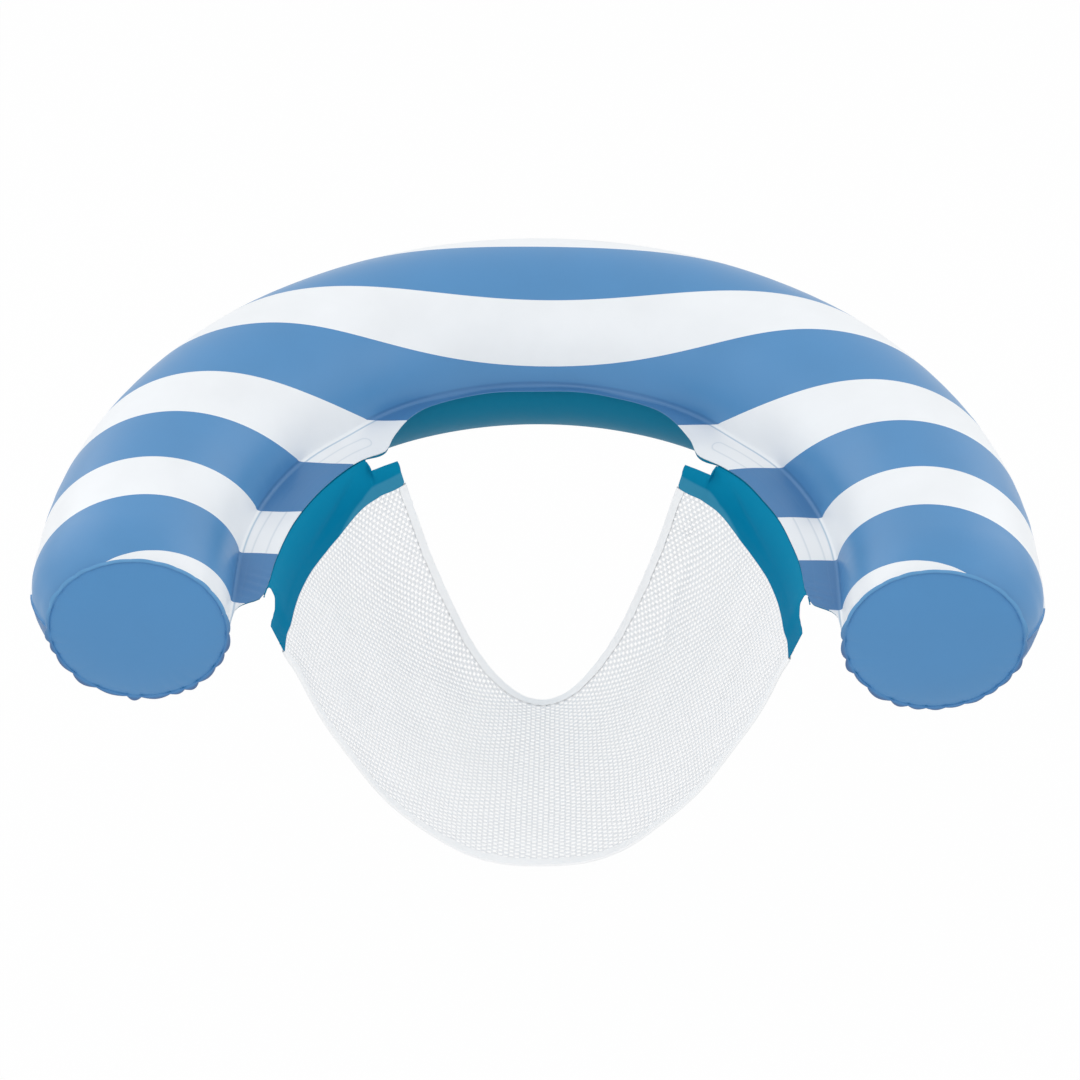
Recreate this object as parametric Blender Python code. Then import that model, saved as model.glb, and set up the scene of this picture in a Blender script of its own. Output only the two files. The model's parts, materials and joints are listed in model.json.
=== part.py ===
"""Inflatable pool armchair: a horseshoe air tube that carries a hanging net seat.

The frame's origin is the middle of the seat opening, on the plane of the tube's welds.
+Z is up, the open front looks along -Y, and +X is the sitter's left arm.
"""
from math import cos, hypot, pi, radians, sin

import bmesh
import bpy
import numpy as np
from mathutils import Matrix, Vector

# Vinyl film and the gap that stands for a weld between two plies
FILM = 0.001
LAP_GAP = 0.0003

# Mesh finish: points within this share of the weld gap become one, and sharper edges crease
MERGE_SHARE = 0.01
SMOOTH_DEGREES = 40

# Air tube: its inner weld is half an ellipse with straight arms in front of it
INNER_HALF_WIDTH = 0.306
INNER_BACK_DEPTH = 0.320
ARM_LENGTH = 0.096
TUBE_RADIUS_BACK = 0.104
TUBE_RADIUS_ARM = 0.101
TUBE_RADIUS_END = 0.081
END_TAPER = 0.055
END_TUCK_SHARE = 0.6
WELD_FLANGE = 0.005
BACK_STATIONS = 15
ROUND_STEPS = 12
ARM_STATION_SHARES = (0.2, 0.4, 0.54, 0.68, 0.84, 1.0)

# Flat web inside the tube: its free edge as shares of the way from the origin to the weld
BACK_WEB_DEGREES = (0, 18, 24, 30, 36, 42, 48, 54, 66, 90)
BACK_WEB_SHARES = (0.969, 0.974, 0.964, 0.936, 0.889, 0.840, 0.849, 0.856, 0.873, 0.887)
ARM_WEB_PLACE_SHARES = (0.0, 0.2, 0.4, 0.54, 0.68, 1.0)
ARM_WEB_SHARES = (0.887, 0.893, 0.903, 0.945, 0.982, 0.982)

# End caps: a slightly domed disc with a puckered weld flange
CAP_DOME = 0.012
CAP_FLANGE = 0.006
CAP_SCALLOPS = 24
SCALLOP_DEPTH = 0.0015
SCALLOP_CURL = 0.003
CAP_RING_SHARES = (0.35, 0.65, 0.87, 1.0)

# Hanging seat: its section between the arms is z = -depth * (1 - |x / half width| ^ power),
# and fills this share of its width times its depth
SEAT_DEPTH_REAR = 0.341
SEAT_DEPTH_FRONT = 0.355
REAR_SECTION_SHARE = 0.671
FRONT_SECTION_SHARE = 0.704
REAR_ROW_DEPTH_SHARES = (0.594, 0.556, 0.525, 0.491)
REAR_ROW_WIDTH_SHARES = (0.490, 0.562, 0.644, 0.698)
SIDE_ROW_DEGREES = (58.5, 63, 67.5, 72, 76.5, 81, 85.5, 90)
ARM_ROW_SHARES = (0.2, 0.4)
SEAT_FRONT = 0.058
SEAT_FRONT_SHARE = 0.897

# Seat bands: the strips welded under the webs, from which the net hangs
BAND_WIDTH = 0.066
BAND_WIDTH_SHARES = (0.52, 0.6, 0.7, 0.8, 0.9, 0.97, 1, 1, 1, 1, 1, 0.98, 0.95, 0.9, 0.85)
BAND_LAP_SHARE = 0.7
BAND_STEPS = 5
NOTCH_RADIUS = 0.013
NOTCH_FORWARD = 0.036
NOTCH_DROP = 0.011
NOTCH_REACH = 0.020

# Net seat: diamond gaps between knitted strands, and a tape along its front and rear edges
NET_THICKNESS = 0.0012
NET_LAP = 0.010
NET_HALF_PITCHES = 36
GAP_SHARE = 0.62
HEM_WIDTH = 0.010
HEM_GAP = 0.0012
SECTION_SAMPLES = 400

# Air valve on the outside of the back, below the weld
VALVE_DEGREES = 3.0
VALVE_ROUND_STEP = 8.5
FLANGE_RADIUS = 0.017
FLANGE_THICKNESS = 0.0012
STEM_RADIUS = 0.0075
STEM_BORE = 0.005
STEM_LENGTH = 0.020
STEM_STAND = 0.0025
STEM_COLLAR_RADIUS = 0.0092
STEM_COLLAR_THICKNESS = 0.002
STEM_CLEARANCE = 0.0004
SKIN_HOLE_RADIUS = 0.0098
STRAP_REACH = 0.011
STRAP_WIDTH = 0.005
STRAP_THICKNESS = 0.001
PLUG_CAP_THICKNESS = 0.0018
PLUG_NOSE_DEPTH = 0.0045
PLUG_NOSE_TAPER = 0.001
PLUG_CLEARANCE = 0.0003
FLAP_THICKNESS = 0.0006
FLAP_RADIUS = 0.0062
ROUND_SEGMENTS = 24
CUT_OVERRUN = 0.004

# Heights of the stacked plies at the web
PLY_FACE = LAP_GAP / 2
BAND_TOP = -(PLY_FACE + FILM + LAP_GAP)
BAND_UNDERSIDE = BAND_TOP - FILM


def clear_scene():
    for item in list(bpy.data.objects):
        bpy.data.objects.remove(item, do_unlink=True)


def material(name, colour, roughness, metallic=0.0):
    """Return a Principled material of one colour."""
    made = bpy.data.materials.new(name)
    made.use_nodes = True
    shader = made.node_tree.nodes["Principled BSDF"]
    shader.inputs["Base Color"].default_value = (*colour, 1.0)
    shader.inputs["Roughness"].default_value = roughness
    shader.inputs["Metallic"].default_value = metallic
    return made


def add_object(name, mesh, finish, parent=None):
    """Put a mesh into the scene as one named object with its material."""
    made = bpy.data.objects.new(name, mesh)
    mesh.materials.append(finish)
    bpy.context.scene.collection.objects.link(made)
    made.parent = parent
    return made


def point_normals(points, faces):
    """Return each point's normal, as long as a film of unit thickness needs there."""
    normals = []
    sums = np.zeros_like(points)
    for face in faces:
        corners = points[list(face)]
        normal = np.cross(corners[2] - corners[0], corners[-1] - corners[1])
        if len(face) == 3:
            normal = np.cross(corners[1] - corners[0], corners[2] - corners[0])
        normal /= np.linalg.norm(normal)
        normals.append(normal)
        sums[list(face)] += normal
    lengths = np.linalg.norm(sums, axis=1, keepdims=True)
    units = sums / np.where(lengths > 0, lengths, 1)
    slant = np.ones(len(points))
    for face, normal in zip(faces, normals):
        for corner in face:
            slant[corner] = min(slant[corner], units[corner] @ normal)
    return units / slant[:, None]


def film_mesh(name, points, faces, thickness):
    """Thicken a sheet of faces into a closed solid, along its own normals."""
    points = np.array(points, dtype=float)
    offset = points + thickness * point_normals(points, faces)
    shape = bmesh.new()
    near = [shape.verts.new(point) for point in points]
    far = [shape.verts.new(point) for point in offset]
    sides = {}
    for face in faces:
        shape.faces.new([near[i] for i in reversed(face)])
        shape.faces.new([far[i] for i in face])
        for start, end in zip(face, face[1:] + face[:1]):
            if (end, start) in sides:
                del sides[(end, start)]
            else:
                sides[(start, end)] = True
    for start, end in sides:
        shape.faces.new((near[start], near[end], far[end], far[start]))
    loose = [vert for vert in shape.verts if not vert.link_faces]
    bmesh.ops.delete(shape, geom=loose, context="VERTS")
    bmesh.ops.recalc_face_normals(shape, faces=shape.faces)
    mesh = bpy.data.meshes.new(name)
    shape.to_mesh(mesh)
    shape.free()
    mesh.shade_smooth()
    mesh.set_sharp_from_angle(angle=radians(SMOOTH_DEGREES))
    return mesh


def grid_faces(rows, columns, keep=lambda row, column: True):
    """Return the quads of a grid of points, row by row, that keep says are there."""
    faces = []
    for row in range(rows - 1):
        for column in range(columns - 1):
            if keep(row, column):
                corner = row * columns + column
                faces.append((corner, corner + 1, corner + columns + 1, corner + columns))
    return faces


def turned_mesh(name, profile):
    """Turn a closed profile of (radius, height) points round the Z axis."""
    shape = bmesh.new()
    rings = []
    for step in range(ROUND_SEGMENTS):
        angle = 2 * pi * step / ROUND_SEGMENTS
        ring = []
        for radius, height in profile:
            ring.append(shape.verts.new((radius * cos(angle), radius * sin(angle), height)))
        rings.append(ring)
    for ring, following in zip(rings, rings[1:] + rings[:1]):
        for step in range(len(profile)):
            after = (step + 1) % len(profile)
            shape.faces.new((ring[step], following[step], following[after], ring[after]))
    bmesh.ops.remove_doubles(shape, verts=shape.verts, dist=LAP_GAP * MERGE_SHARE)
    bmesh.ops.recalc_face_normals(shape, faces=shape.faces)
    mesh = bpy.data.meshes.new(name)
    shape.to_mesh(mesh)
    shape.free()
    mesh.shade_smooth()
    mesh.set_sharp_from_angle(angle=radians(SMOOTH_DEGREES))
    return mesh


def box_mesh(name, low, high):
    """Return a box between two corners."""
    shape = bmesh.new()
    bmesh.ops.create_cube(shape, size=1)
    middle = (Vector(low) + Vector(high)) / 2
    size = Vector(high) - Vector(low)
    bmesh.ops.transform(shape, verts=shape.verts,
                        matrix=Matrix.LocRotScale(middle, None, size))
    mesh = bpy.data.meshes.new(name)
    shape.to_mesh(mesh)
    shape.free()
    return mesh


def combine(target, name, mesh, matrix, operation):
    """Cut a hidden guide out of an object (DIFFERENCE) or join it on (UNION)."""
    guide = bpy.data.objects.new(name, mesh)
    bpy.context.scene.collection.objects.link(guide)
    guide.matrix_world = matrix
    guide.hide_render = True
    guide.display_type = "WIRE"
    change = target.modifiers.new(name, "BOOLEAN")
    change.operation = operation
    change.solver = "EXACT"
    change.object = guide


def tube_stations():
    """List (degrees, distance forward) along the weld, from one arm's end to the other."""
    step = 90 / BACK_STATIONS
    back = [(step * i, 0.0) for i in range(-BACK_STATIONS, BACK_STATIONS + 1)]
    arm = [ARM_LENGTH * share for share in ARM_STATION_SHARES]
    left = [(-90, forward) for forward in reversed(arm)]
    right = [(90, forward) for forward in arm]
    return left + back + right


def weld_frame(degrees, forward):
    """Return the inner weld's point, its direction out of the seat, and the tube's radius."""
    angle = radians(degrees)
    spoke = np.array((INNER_HALF_WIDTH * sin(angle), INNER_BACK_DEPTH * cos(angle)))
    outward = np.array((sin(angle) / INNER_HALF_WIDTH, cos(angle) / INNER_BACK_DEPTH))
    outward /= hypot(*outward)
    radius = TUBE_RADIUS_ARM + (TUBE_RADIUS_BACK - TUBE_RADIUS_ARM) * cos(angle) ** 2
    into = max(0.0, forward - ARM_LENGTH + END_TAPER) / END_TAPER
    drawn_in = (TUBE_RADIUS_ARM - TUBE_RADIUS_END) * into ** 2
    point = spoke - np.array((0, forward)) + outward * drawn_in * END_TUCK_SHARE
    return point, outward, radius - drawn_in


def web_edge(degrees, forward):
    """Return the free edge of the web that belongs to a place along the weld."""
    point = weld_frame(degrees, forward)[0]
    angle = radians(degrees)
    spoke = np.array((INNER_HALF_WIDTH * sin(angle), INNER_BACK_DEPTH * cos(angle)))
    share = np.interp(abs(degrees), BACK_WEB_DEGREES, BACK_WEB_SHARES)
    if forward > 0:
        share = np.interp(forward / ARM_LENGTH, ARM_WEB_PLACE_SHARES, ARM_WEB_SHARES)
    width = max(WELD_FLANGE, hypot(*spoke) * (1 - share))
    return point - spoke / hypot(*spoke) * width


def skin_section(degrees, forward, side):
    """Return one cross-section of a skin's inner face: web, half round and outer flange."""
    point, outward, radius = weld_frame(degrees, forward)
    bore = radius - FILM
    section = [(*web_edge(degrees, forward), side * PLY_FACE)]
    for step in range(ROUND_STEPS + 1):
        turn = pi * step / ROUND_STEPS
        place = point + outward * (radius - bore * cos(turn))
        section.append((*place, side * max(PLY_FACE, bore * sin(turn))))
    edge = point + outward * (2 * radius + WELD_FLANGE)
    section.append((*edge, side * PLY_FACE))
    return section


def make_skin(name, side, finish):
    """Make the upper (side 1) or lower (side -1) skin of the tube with its ply of the web."""
    stations = tube_stations()
    points = []
    for degrees, forward in stations:
        points += skin_section(degrees, forward, side)
    faces = grid_faces(len(stations), ROUND_STEPS + 3)
    return add_object(name, film_mesh(name, points, faces, -FILM * side), finish)


def make_end_cap(name, side, finish):
    """Make the disc that closes one arm, with its scalloped weld flange.

    The skins' outer faces lean forward at their ends by part of the film's thickness.
    """
    point, outward, radius = weld_frame(90 * side, ARM_LENGTH)
    middle = point + outward * radius
    back = -ARM_LENGTH - FILM
    segments = 2 * CAP_SCALLOPS
    points = [(middle[0], back - CAP_DOME, 0.0)]
    for share in CAP_RING_SHARES:
        bulge = CAP_DOME * (1 - share ** 2)
        for step in range(segments):
            turn = 2 * pi * step / segments
            across = radius * share
            points.append((middle[0] + across * sin(turn), back - bulge, across * cos(turn)))
    for step in range(segments):
        turn = 2 * pi * step / segments
        wave = cos(CAP_SCALLOPS * turn)
        across = radius + CAP_FLANGE + SCALLOP_DEPTH * wave
        curl = SCALLOP_CURL * (1 - wave) / 2
        points.append((middle[0] + across * sin(turn), back - curl, across * cos(turn)))
    faces = []
    for step in range(segments):
        after = (step + 1) % segments
        faces.append((0, 1 + step, 1 + after))
        for ring in range(len(CAP_RING_SHARES)):
            start = 1 + ring * segments
            faces.append((start + step, start + segments + step,
                          start + segments + after, start + after))
    return add_object(name, film_mesh(name, points, faces, -FILM), finish)


def seat_rows():
    """List the seat's rows from rear to front: (hang point x, y, width of web above it)."""
    rows = []
    for width_share, depth_share in zip(REAR_ROW_WIDTH_SHARES, REAR_ROW_DEPTH_SHARES):
        rows.append((INNER_HALF_WIDTH * width_share, INNER_BACK_DEPTH * depth_share, None))
    for degrees in SIDE_ROW_DEGREES:
        rows.append((*web_edge(degrees, 0), weld_frame(degrees, 0)[0]))
    for share in ARM_ROW_SHARES:
        forward = ARM_LENGTH * share
        rows.append((*web_edge(90, forward), weld_frame(90, forward)[0]))
    rows.append((INNER_HALF_WIDTH * SEAT_FRONT_SHARE, -SEAT_FRONT, None))
    return rows


def seat_section(row):
    """Sample one row's section from the right hang point to the left: places and distance."""
    half_width, y, _ = row
    rear = INNER_BACK_DEPTH * REAR_ROW_DEPTH_SHARES[0]
    way = (rear - y) / (rear + SEAT_FRONT)
    depth = SEAT_DEPTH_REAR + (SEAT_DEPTH_FRONT - SEAT_DEPTH_REAR) * way
    filled = REAR_SECTION_SHARE + (FRONT_SECTION_SHARE - REAR_SECTION_SHARE) * way
    power = filled / (1 - filled)
    across = np.linspace(1, -1, SECTION_SAMPLES + 1)
    x = half_width * across
    z = BAND_UNDERSIDE - depth * (1 - np.abs(across) ** power)
    run = np.concatenate(([0], np.cumsum(np.hypot(np.diff(x), np.diff(z)))))
    return x, z, run


def seat_point(row, section, distance):
    """Return the point of a row at a distance along its section."""
    x, z, run = section
    return (np.interp(distance, run, x), row[1], np.interp(distance, run, z))


def make_seat_band(name, side, finish):
    """Make one vinyl band: a margin under the web, then the strip that hangs down."""
    rows = seat_rows()
    points = []
    for row, share in zip(rows, BAND_WIDTH_SHARES):
        section = seat_section(row)
        margin = np.array(row[:2])
        if row[2] is not None:
            margin = margin + BAND_LAP_SHARE * (row[2] - margin)
        points.append((margin[0], margin[1], BAND_UNDERSIDE))
        for step in range(BAND_STEPS + 1):
            distance = BAND_WIDTH * share * step / BAND_STEPS
            points.append(seat_point(row, section, distance))
    points = np.array(points) * (side, 1, 1)
    has_web = [row[2] is not None for row in rows]
    faces = grid_faces(len(rows), BAND_STEPS + 2,
                       lambda row, column: column > 0 or has_web[row] and has_web[row + 1])
    band = add_object(name, film_mesh(name, points, faces, FILM * side), finish)
    middle = INNER_HALF_WIDTH * SEAT_FRONT_SHARE * side
    place = Matrix.Translation((middle, -NOTCH_FORWARD, BAND_UNDERSIDE - NOTCH_DROP))
    profile = [(0, -NOTCH_REACH), (NOTCH_RADIUS, -NOTCH_REACH),
               (NOTCH_RADIUS, NOTCH_REACH), (0, NOTCH_REACH)]
    cutter = turned_mesh(name + "_notch", profile)
    turn = Matrix.Rotation(pi / 2, 4, "Y")
    combine(band, name + "_notch", cutter, place @ turn, "DIFFERENCE")
    return band


def seat_lattice():
    """Return the seat's grid of points, rear to front and right to left, and its normals."""
    points = []
    for row, share in zip(seat_rows(), BAND_WIDTH_SHARES):
        section = seat_section(row)
        total = section[2][-1]
        start = BAND_WIDTH * share + LAP_GAP
        distances = [start - NET_LAP]
        distances += list(np.linspace(start, total - start, NET_HALF_PITCHES + 1))
        distances.append(total - start + NET_LAP)
        points += [seat_point(row, section, distance) for distance in distances]
    columns = NET_HALF_PITCHES + 3
    points = np.array(points)
    normals = point_normals(points, grid_faces(len(points) // columns, columns))
    return points, normals, columns


def diamond_faces(points, corners, middle, share):
    """Return the points and faces of one diamond of net, with its gap."""
    first = len(points)
    for corner in corners:
        points.append(points[middle] + share * (points[corner] - points[middle]))
    faces = []
    for step in range(4):
        after = (step + 1) % 4
        faces.append((corners[step], corners[after], first + after, first + step))
    return faces


def make_net(name, finish):
    """Make the net: a lattice of diamond gaps between two solid margins."""
    grid, normals, columns = seat_lattice()
    points = list(grid - LAP_GAP * normals)
    rows = len(points) // columns
    faces = grid_faces(rows, columns, lambda row, column: column in (0, columns - 2))
    last = NET_HALF_PITCHES
    for row in range(rows):
        for pitch in range(last + 1):
            if (row + pitch) % 2 == 0:
                continue
            middle = row * columns + pitch + 1
            rear, front = middle - columns, middle + columns
            right, left = middle - 1, middle + 1
            if row in (0, rows - 1) or pitch in (0, last):
                around = [rear] if row > 0 else []
                around += [left] if pitch < last else []
                around += [front] if row < rows - 1 else []
                around += [right] if pitch > 0 else []
                faces += edge_faces(middle, around, row, pitch, rows)
            else:
                faces += diamond_faces(points, (rear, left, front, right), middle, GAP_SHARE)
    return add_object(name, film_mesh(name, points, faces, -NET_THICKNESS), finish)


def edge_faces(middle, around, row, pitch, rows):
    """Return the solid triangles of a half diamond at the lattice's edge."""
    if pitch == NET_HALF_PITCHES and row not in (0, rows - 1):
        rear, front, right = around
        return [(middle, front, right), (middle, right, rear)]
    if pitch == 0 and row not in (0, rows - 1):
        rear, left, front = around
        return [(middle, rear, left), (middle, left, front)]
    if row == 0:
        left, front, right = around
        return [(middle, left, front), (middle, front, right)]
    rear, left, right = around
    return [(middle, rear, left), (middle, right, rear)]


def make_hem(name, at_front, finish):
    """Make the tape along the net's front or rear edge, on the sitter's side of the net."""
    grid, normals, columns = seat_lattice()
    rows = len(grid) // columns
    edge, inside = (rows - 1, rows - 2) if at_front else (0, 1)
    raised = grid + (HEM_GAP - LAP_GAP) * normals
    outer, inner = [], []
    for column in range(1, columns - 1):
        start = raised[edge * columns + column]
        way = raised[inside * columns + column] - start
        outer.append(start)
        inner.append(start + way / np.linalg.norm(way) * HEM_WIDTH)
    points = inner + outer if at_front else outer + inner
    faces = grid_faces(2, columns - 2)
    return add_object(name, film_mesh(name, points, faces, FILM), finish)


def skin_point(degrees, round_step):
    """Return a point on the outside of the lower skin, by place along and round the tube."""
    point, outward, radius = weld_frame(degrees, 0)
    turn = pi * round_step / ROUND_STEPS
    place = point + outward * (radius - radius * cos(turn))
    return Vector((*place, -radius * sin(turn)))


def valve_matrix():
    """Return the valve's frame: on a flat of the lower skin, +Z out of the tube."""
    station = 90 / BACK_STATIONS / 2
    corners = []
    for along, around in ((-1, -1), (1, -1), (1, 1), (-1, 1)):
        corners.append(skin_point(VALVE_DEGREES + station * along,
                                  VALVE_ROUND_STEP + around / 2))
    middle = sum(corners, Vector()) / 4
    out = (corners[2] - corners[0]).cross(corners[3] - corners[1]).normalized()
    if out.z > 0:
        out.negate()
    along = (corners[1] - corners[0]).normalized()
    across = out.cross(along).normalized()
    along = across.cross(out)
    turn = Matrix((along, across, out)).transposed().to_4x4()
    return Matrix.Translation(middle) @ turn


def make_valve(skin, finish):
    """Make the valve's flange, stem, plug and check flap, and its hole in the skin."""
    matrix = valve_matrix()
    base = bpy.data.objects.new("valve_axis", None)
    bpy.context.scene.collection.objects.link(base)
    base.matrix_world = matrix

    hole = turned_mesh("valve_hole", [(0, -CUT_OVERRUN), (SKIN_HOLE_RADIUS, -CUT_OVERRUN),
                                      (SKIN_HOLE_RADIUS, CUT_OVERRUN), (0, CUT_OVERRUN)])
    combine(skin, "valve_hole", hole, matrix, "DIFFERENCE")

    low = LAP_GAP
    high = low + FLANGE_THICKNESS
    bore = STEM_RADIUS + STEM_CLEARANCE
    flange = turned_mesh("valve_flange", [(bore, low), (FLANGE_RADIUS, low),
                                          (FLANGE_RADIUS, high), (bore, high)])
    add_object("valve_flange", flange, finish, base)

    rim = high + STEM_STAND
    foot = rim - STEM_LENGTH
    collar = foot + STEM_COLLAR_THICKNESS
    stem = turned_mesh("valve_stem", [(STEM_BORE, foot), (STEM_COLLAR_RADIUS, foot),
                                      (STEM_COLLAR_RADIUS, collar), (STEM_RADIUS, collar),
                                      (STEM_RADIUS, rim), (STEM_BORE, rim)])
    add_object("valve_stem", stem, finish, base)

    hinge = bpy.data.objects.new("plug_hinge", None)
    bpy.context.scene.collection.objects.link(hinge)
    hinge.parent = base
    lift = Vector((-STRAP_REACH, 0, rim + LAP_GAP + STRAP_THICKNESS / 2))
    hinge.location = lift
    plug = add_object("valve_plug", plug_mesh(), finish, hinge)
    strap = box_mesh("plug_strap", (0, -STRAP_WIDTH / 2, -STRAP_THICKNESS / 2),
                     (STRAP_REACH - STEM_BORE, STRAP_WIDTH / 2, STRAP_THICKNESS / 2))
    combine(plug, "plug_strap", strap, matrix @ Matrix.Translation(lift), "UNION")

    pin = bpy.data.objects.new("flap_hinge", None)
    bpy.context.scene.collection.objects.link(pin)
    pin.parent = base
    pin.location = (-FLAP_RADIUS, 0, foot - LAP_GAP - FLAP_THICKNESS / 2)
    half = FLAP_THICKNESS / 2
    flap = turned_mesh("check_flap", [(0, -half), (FLAP_RADIUS, -half),
                                      (FLAP_RADIUS, half), (0, half)])
    flap.transform(Matrix.Translation((FLAP_RADIUS, 0, 0)))
    add_object("check_flap", flap, finish, pin)


def plug_mesh():
    """Return the plug without its strap, placed from the strap's hinge line."""
    under = -STRAP_THICKNESS / 2
    nose = STEM_BORE - PLUG_CLEARANCE
    mesh = turned_mesh("valve_plug", [
        (0, under - PLUG_NOSE_DEPTH), (nose - PLUG_NOSE_TAPER, under - PLUG_NOSE_DEPTH),
        (nose, under), (STEM_RADIUS, under), (STEM_RADIUS, under + PLUG_CAP_THICKNESS),
        (0, under + PLUG_CAP_THICKNESS)])
    mesh.transform(Matrix.Translation((STRAP_REACH, 0, 0)))
    return mesh


def main():
    clear_scene()
    striped = material("striped_vinyl", (0.075, 0.225, 0.46), 0.35)
    teal = material("teal_vinyl", (0.005, 0.15, 0.28), 0.3)
    blue = material("blue_vinyl", (0.10, 0.27, 0.50), 0.35)
    knit = material("white_net", (0.85, 0.86, 0.87), 0.7)
    tape = material("white_tape", (0.88, 0.89, 0.90), 0.5)
    clear = material("valve_vinyl", (0.75, 0.80, 0.84), 0.3)

    make_skin("upper_skin", 1, striped)
    lower = make_skin("lower_skin", -1, teal)
    make_end_cap("end_cap_left", 1, blue)
    make_end_cap("end_cap_right", -1, blue)
    make_seat_band("seat_band_left", 1, teal)
    make_seat_band("seat_band_right", -1, teal)
    make_net("seat_net", knit)
    make_hem("front_hem", True, tape)
    make_hem("rear_hem", False, tape)
    make_valve(lower, clear)


main()
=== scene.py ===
from collections import namedtuple
from contextlib import contextmanager
import json
from math import cos, hypot, pi, radians, sin

import bmesh
import bpy
import numpy as np
from mathutils import Matrix, Vector


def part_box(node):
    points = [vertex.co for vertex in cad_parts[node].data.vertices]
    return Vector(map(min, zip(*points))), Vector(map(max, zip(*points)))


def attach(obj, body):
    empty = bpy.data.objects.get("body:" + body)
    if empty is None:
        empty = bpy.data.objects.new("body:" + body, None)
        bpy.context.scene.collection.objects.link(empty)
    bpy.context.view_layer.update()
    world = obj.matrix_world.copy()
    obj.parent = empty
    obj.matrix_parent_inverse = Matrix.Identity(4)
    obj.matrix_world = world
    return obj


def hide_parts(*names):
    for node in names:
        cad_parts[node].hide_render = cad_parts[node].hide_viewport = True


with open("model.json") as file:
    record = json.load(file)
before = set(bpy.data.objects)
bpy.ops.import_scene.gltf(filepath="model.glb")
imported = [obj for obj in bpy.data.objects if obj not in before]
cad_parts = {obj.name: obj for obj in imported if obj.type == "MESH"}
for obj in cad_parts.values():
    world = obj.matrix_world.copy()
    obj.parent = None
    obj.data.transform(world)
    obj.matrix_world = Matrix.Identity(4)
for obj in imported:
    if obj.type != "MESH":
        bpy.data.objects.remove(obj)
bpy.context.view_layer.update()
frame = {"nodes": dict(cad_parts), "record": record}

# Film, gaps and the shape of the tube, as in the frame; its arms end 4 mm shorter, a
# little wider, and lean forward on their outer side
FILM = 0.001
LAP_GAP = 0.0003
INNER_HALF_WIDTH = 0.306
INNER_BACK_DEPTH = 0.320
ARM_LENGTH = 0.092
TUBE_RADIUS_BACK = 0.104
TUBE_RADIUS_ARM = 0.101
TUBE_RADIUS_END = 0.087
END_TAPER = 0.055
END_TUCK_SHARE = 0.12
END_LEAN = 0.007
WELD_FLANGE = 0.005
WELD_PULL = 0.0042
WELD_PULL_AT = (44, 8)
OUTER_FLANGE_ARM = 0.0018
FLANGE_NARROWS_AT = (50, 80)
BACK_WEB_DEGREES = (0, 18, 24, 30, 36, 41.7, 48, 54, 66, 78, 90)
BACK_WEB_SHARES = (0.969, 0.974, 0.963, 0.931, 0.880, 0.827, 0.845, 0.851, 0.857, 0.865, 0.879)
ARM_WEB_PLACE_SHARES = (0.0, 0.2, 0.36, 0.5, 0.556, 0.607, 0.706, 0.875, 1.0)
ARM_WEB_SHARES = (0.879, 0.884, 0.893, 0.908, 0.941, 0.968, 0.984, 0.988, 0.988)
LEAST_WEB = 0.0035
LOWER_PLY_SHORT = 0.0006
LOWER_PLY_SHOWS = 0.0030
LOWER_PLY_SHOWS_AT = (43.5, 3.0)

# Fineness of the skins' mesh
BACK_STEPS = 180
ARM_STEPS = 32
WEB_STEPS = 34
FILLET_STEPS = 4
ROUND_STEPS = 64
FLANGE_STEPS = 3
FLARE_STEPS = 4

# Roundings beside the welds, puckers along them, and the waves of the flat parts
INNER_FILLET = 0.004
OUTER_FILLET = 0.0012
INNER_PUCKER = 0.0005
INNER_PUCKER_REACH = 0.022
INNER_PUCKER_WAVE = 0.017
INNER_PUCKER_STARTS = (0.003, 0.012)
OUTER_PUCKER = 0.0012
OUTER_PUCKER_REACH = 0.026
OUTER_PUCKER_WAVE = 0.024
OUTER_PUCKER_STARTS = (0.002, 0.010)
FLANGE_WAVE = 0.0012
WEB_WAVE = 0.0007
WEB_CRUMPLE = 0.9
WEB_CRUMPLE_AT = (-0.028, 0.022)

# End caps and the ruffled flange around them
CAP_DOME = 0.012
CAP_DOME_POWER = 2.6
CAP_FLANGE = 0.0052
CAP_SETBACK = 0.0023
CAP_CREASE = 0.0004
CAP_CREASE_WIDTH = 0.0016
CAP_SCALLOPS = 24
SCALLOP_DEPTH = 0.0024
SCALLOP_CURL = 0.0035
LOBE_WIDTH_SPREAD = 0.38
LOBE_DEPTH_SPREAD = 0.5
LOBE_ROUNDING = 0.75
UPPER_TUCK_SHARE = 0.6
CAP_FLANGE_HOLLOW = 0.0014
CAP_FLANGE_STEPS = 7
SKIN_FLANGE_SHORT = 0.0016
LOBE_STEPS = 12
CAP_PUCKER = 0.0011
CAP_PUCKER_REACH = 0.010

# Hanging seat: its depth, how full its sections are, and its rows from rear to front
SEAT_DEPTH_REAR = 0.341
SEAT_DEPTH_FRONT = 0.355
REAR_SECTION_SHARE = 0.671
FRONT_SECTION_SHARE = 0.704
REAR_ROWS = ((0.1535, 0.1900), (0.1680, 0.1840), (0.1805, 0.1785))
SLOT_ROWS = ((46.5, 0.1765), (50.5, 0.1680), (54.5, 0.1565))
SIDE_ROW_DEGREES = (58.5, 63, 67.5, 72, 76.5, 81, 85.5, 90)
ARM_ROW_SHARES = (0.2, 0.4)
SEAT_FRONT = 0.058
SEAT_FRONT_SHARE = 0.897
HANG_REACH = 0.018

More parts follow.
